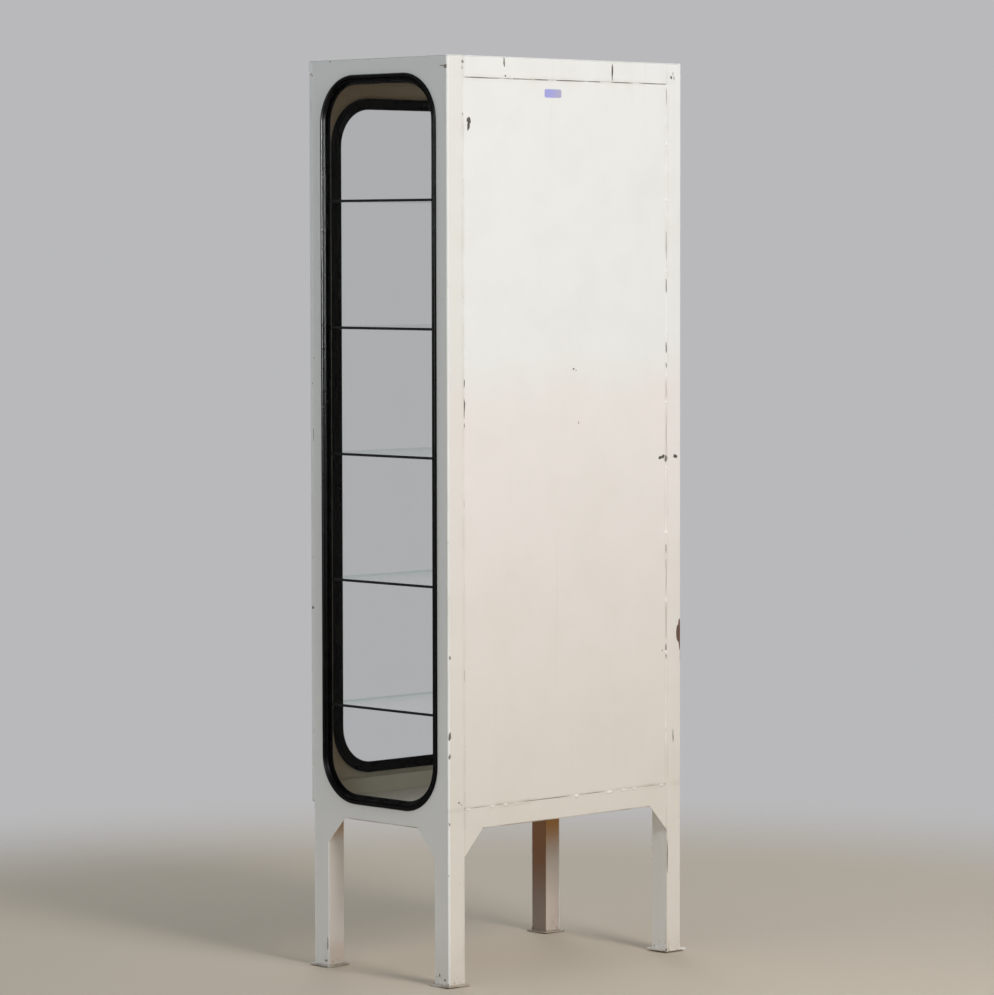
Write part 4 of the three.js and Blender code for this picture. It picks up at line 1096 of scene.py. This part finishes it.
class CABINET_OT_seam_paint(Operator):
    """Fill the back panel's two upright seams with paint"""

    bl_idname = "cabinet.seam_paint"
    bl_label = "Seam Paint"

    def execute(self, context):
        rows, columns = 260, 9
        lap, sunk, clear = 0.6 * MM, 0.05 * MM, 0.01 * MM
        z = np.linspace(SILL_TOP, RAIL_BOTTOM, rows)[:, None]
        inwards = np.linspace(0.0, 1.0, columns)[None] * seam_width(z)
        on_panel = np.clip(z, SILL_TOP + clear, RAIL_BOTTOM - clear)
        for which, sign in SIDES.items():
            x = sign * (RAIL_END - inwards)
            face = back_face(x, on_panel)
            face[:, -1] -= UNDER_FACE
            ramp = np.stack([x, face, z + 0.0 * x], axis=-1)
            outermost = sign * (RAIL_END + lap) + 0.0 * z
            over = np.stack([outermost, BACK - sunk + 0.0 * z, z], axis=-1)
            below = np.stack([outermost, PANEL_FACE - UNDER_FACE + 0.0 * z, z], axis=-1)
            rings = np.concatenate([ramp, below, over], axis=1)
            add_piece(f"{which}_seam_paint", *skin(rings, False), [aged_enamel()])
        return {"FINISHED"}


class CABINET_OT_seam_welds(Operator):
    """Make the painted-over weld lumps along the back panel's seams"""

    bl_idname = "cabinet.seam_welds"
    bl_label = "Seam Welds"

    def execute(self, context):
        inset = 1.0 * MM
        lumps = [(inset - RAIL_END, height, *LEFT_LUMP) for height in LEFT_WELDS]
        lumps += [(RAIL_END - inset, height, *RIGHT_LUMP) for height in RIGHT_WELDS]
        lumps += [(across, SILL_TOP - inset, half, tall) for across, half, tall in SILL_WELDS]
        lumps += [(across, RAIL_BOTTOM - inset, half, TOP_LUMP) for across, half in TOP_WELDS]
        points, faces, (outwards,) = flakes(
            np.array(lumps), back_place, rings=5, around=18, lift=1.6 * MM, ragged=0.16, seed=5)
        welds = add_piece("seam_welds", points, faces, [aged_enamel()], soft_angle=80.0)
        # Painted highlight on the crowns of the lumps along the sill and the seam at negative x
        pale = (np.abs(points[:, 2] - SILL_TOP) < 8.0 * MM) | (points[:, 0] < 0.0)
        set_values(welds, "worn", np.clip(1.6 - 1.6 * outwards, 0.0, 1.0) * pale)
        return {"FINISHED"}


class CABINET_OT_paint_chips(Operator):
    """Make the chips, cracked seams and rust, which show the metal under the paint, and the painted shadow
    under the back's top rail
    """

    bl_idname = "cabinet.paint_chips"
    bl_label = "Paint Chips"

    def execute(self, context):
        right_seam, left_seam = 1.0 - SEAM, SEAM - 2.0
        top_seam, sill_seam = RAIL_BOTTOM / MM - 0.9, SILL_TOP / MM + 0.9
        # The top seam's marks are a painted shadow under the rail's edge
        top_width, top_shadow_dark = 0.8, 0.7
        rows = [
            *BACK_CHIPS,
            *((right_seam, place, wide, half, bare, 0.0) for place, half, wide, bare in RIGHT_CRACKS),
            *((left_seam, place, wide, half, bare, 0.0) for place, half, wide, bare in LEFT_CRACKS),
            *((place, top_seam, half, top_width, top_shadow_dark, 0.0) for place, half in TOP_RAIL_SHADOW),
            *((place, sill_seam, half, tall, bare, 0.0) for place, half, tall, bare in SILL_CRACKS),
            LEG_SLIT,
        ]
        add_chips("back_chips_and_shadow", rows, back_place, seed=8)
        add_chips("side_chips", SIDE_CHIPS, right_place, seed=21)
        add_chips("left_chips", LEFT_CHIPS, left_place, seed=34)
        add_chips("door_chips", DOOR_CHIPS, door_place, seed=55, body="door")
        return {"FINISHED"}


class CABINET_OT_label(Operator):
    """Put a plain blank label on the back panel"""

    bl_idname = "cabinet.label"
    bl_label = "Blank Label"

    def execute(self, context):
        width, height, radius = 45.0 * MM, 16.0 * MM, 4.0 * MM
        centre, way = rounded_path(width, height, radius, corner_steps=5, straight_steps=6)
        inset = np.array([0.9, 0.6, 0.3, 0.0, 0.0])[:, None, None] * height / 2
        corner = np.sign(centre) * np.maximum(np.abs(centre)[None] - np.maximum(inset - radius, 0.0), 0.0)
        flat = corner + np.maximum(radius - inset, 0.0) * way
        x, z = flat[..., 0] + LABEL_X, flat[..., 1] + LABEL_Z
        proud = np.array([0.12, 0.12, 0.12, 0.10, -0.20])[:, None] * MM
        points = np.stack([x, back_face(x, z) + proud, z], axis=-1)
        add_piece("blank_label", *skin(points, False), [blank_label()])
        return {"FINISHED"}


class CABINET_OT_hinge_screws(Operator):
    """Put two raised screw heads on each hinge leaf"""

    bl_idname = "cabinet.hinge_screws"
    bl_label = "Hinge Screws"

    def execute(self, context):
        leaf_face, from_rear, from_end = -HALF_WIDTH - 2.3 * MM, 7.0 * MM, 9.0 * MM
        radius, crown = arc((0.0, 0.0), (sizes().screw_radius, 0.9 * MM), 0.0, 84.0, 6).T[..., None]
        heading = np.linspace(0.0, TURN, 20, endpoint=False)
        for node in HINGE_LEAVES:
            low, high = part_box(node)
            for which, height in (("lower", low.z + from_end), ("upper", high.z - from_end)):
                points = np.stack([
                    leaf_face - crown * np.ones_like(heading),
                    high.y - from_rear + radius * np.cos(heading),
                    height + radius * np.sin(heading),
                ], axis=-1)
                name = f"{node}_{which}_screw"
                add_piece(name, *skin(points, False), [plain_steel()], "bare_steel", soft_angle=50.0)
        return {"FINISHED"}


def lay_floor(scene, stage):
    """A round floor as rings of points, the radius times the cosine and sine of the angle, that fades out."""
    spokes, rings, hub = 96, 14, 0.1
    heading = np.linspace(0.0, TURN, spokes, endpoint=False)
    radius = np.linspace(hub, stage.floor_radius, rings)[:, None]
    x, y = radius * np.cos(heading), radius * np.sin(heading)
    points, faces = skin(np.stack([x, y, np.zeros_like(x)], axis=-1), False)
    mesh = bpy.data.meshes.new("floor")
    mesh.from_pydata(points.tolist(), [], faces[:-1])
    coat = Finish(bpy.data.materials.new("floor"))
    x, y, _ = coat.split(coat.place)
    far = (x * x + y * y) ** 0.5
    solid = coat.coloured("ShaderNodeBsdfDiffuse", stage.floor)
    gone = coat.node("ShaderNodeBsdfTransparent")
    mesh.materials.append(coat.ended(coat.mixed(far.rise(stage.floor_fade, stage.floor_radius), solid, gone)))
    floor = bpy.data.objects.new("floor", mesh)
    scene.collection.objects.link(floor)


def set_sky(scene, stage):
    """Even light, a plain backdrop for the camera, and a gradient for gloss by how steeply a ray rises."""
    sky = Finish(bpy.data.worlds.new("studio"))
    path = sky.node("ShaderNodeLightPath")
    light, backdrop, low, high = (
        sky.coloured("ShaderNodeBackground", colour)
        for colour in (stage.sky, stage.backdrop, stage.mirrored_low, stage.mirrored_high))
    _, _, up = sky.split(sky.coordinates.output("Generated"))
    lowest, highest = -0.4, 0.5
    mirrored = sky.mixed(up.rise(lowest, highest), low, high)
    unseen = sky.mixed(path.output("Is Glossy Ray"), light, mirrored)
    seen = path.output("Is Camera Ray").at_least(path.output("Is Transmission Ray"))
    scene.world = sky.ended(sky.mixed(seen, unseen, backdrop), "ShaderNodeOutputWorld")


def hang_lamp(scene, name, watts, diameter, place, target, colour):
    """A round lamp that points at a target and that the camera doesn't see."""
    lamp = bpy.data.lights.new(name, "AREA")
    lamp.shape = "DISK"
    lamp.size = diameter
    lamp.energy = watts
    lamp.color = colour
    holder = bpy.data.objects.new(name, lamp)
    holder.location = place
    holder.rotation_mode = "QUATERNION"
    holder.rotation_quaternion = (Vector(target) - Vector(place)).to_track_quat("-Z", "Y")
    holder.visible_camera = False
    scene.collection.objects.link(holder)
    return holder


def set_camera(scene, stage):
    """A camera at its place, turned to its heading and pitch and then rolled."""
    heading = Matrix.Rotation(stage.camera_heading - math.pi / 2, 4, "Z")
    pitch = Matrix.Rotation(stage.camera_pitch + math.pi / 2, 4, "X")
    roll = Matrix.Rotation(stage.camera_roll, 4, "Z")
    eye = bpy.data.cameras.new("camera")
    eye.lens = stage.lens
    holder = bpy.data.objects.new("camera", eye)
    holder.matrix_world = Matrix.Translation(stage.camera_place) @ heading @ pitch @ roll
    scene.collection.objects.link(holder)
    scene.camera = holder


class CABINET_OT_stage(Operator):
    """Lay the floor, light the object and set the camera"""

    bl_idname = "cabinet.stage"
    bl_label = "Stage"

    def execute(self, context):
        scene = context.scene
        stage = scene.cabinet_stage
        lay_floor(scene, stage)
        set_sky(scene, stage)
        hang_lamp(
            scene, "key_lamp", stage.key_power, diameter=1.7,
            place=(0.45, 4.5, 2.7), target=(0.0, 0.2, 1.05), colour=(1.0, 0.985, 0.96))
        fill = hang_lamp(
            scene, "fill_lamp", stage.fill_power, diameter=2.4,
            place=(-3.6, -4.4, 2.3), target=(0.0, 0.0, 0.9), colour=(0.98, 0.99, 1.0))
        fill.visible_glossy = False
        rim = hang_lamp(
            scene, "rim_lamp", stage.rim_power, diameter=0.80,
            place=(3.90, 1.60, 1.52), target=(0.3, -0.16, 1.45), colour=(1.0, 1.0, 1.0))
        rim.visible_diffuse = False
        set_camera(scene, stage)
        scene.view_settings.view_transform = "Standard"
        return {"FINISHED"}


class CABINET_PT_panel(Panel):
    """Lists the cabinet's pieces and their sizes and colours"""

    bl_idname = "CABINET_PT_panel"
    bl_label = "Medical Cabinet"
    bl_space_type = "VIEW_3D"
    bl_region_type = "UI"
    bl_category = "Cabinet"

    def draw(self, context):
        for piece in PIECES:
            self.layout.operator(piece.bl_idname)
        for group in (context.scene.cabinet_sizes, context.scene.cabinet_finish, context.scene.cabinet_stage):
            box = self.layout.box()
            for name in group.__annotations__:
                box.prop(group, name)


GROUPS = {"cabinet_sizes": CabinetSizes, "cabinet_finish": CabinetFinish, "cabinet_stage": CabinetStage}
PIECES = (
    CABINET_OT_sheet_metal,
    CABINET_OT_metal_fittings,
    CABINET_OT_window_rubber,
    CABINET_OT_window_glass,
    CABINET_OT_shelves,
    CABINET_OT_back_panel,
    CABINET_OT_foot_plates,
    CABINET_OT_fascia_ends,
    CABINET_OT_seam_paint,
    CABINET_OT_seam_welds,
    CABINET_OT_paint_chips,
    CABINET_OT_label,
    CABINET_OT_hinge_screws,
    CABINET_OT_stage,
)


def register():
    for kind in (*GROUPS.values(), *PIECES, CABINET_PT_panel):
        bpy.utils.register_class(kind)
    for name, group in GROUPS.items():
        setattr(bpy.types.Scene, name, PointerProperty(type=group))


def unregister():
    for name in GROUPS:
        delattr(bpy.types.Scene, name)
    for kind in reversed((*GROUPS.values(), *PIECES, CABINET_PT_panel)):
        bpy.utils.unregister_class(kind)


def main():
    register()
    for piece in PIECES:
        space, name = piece.bl_idname.split(".")
        getattr(getattr(bpy.ops, space), name)()


if __name__ == "__main__":
    main()
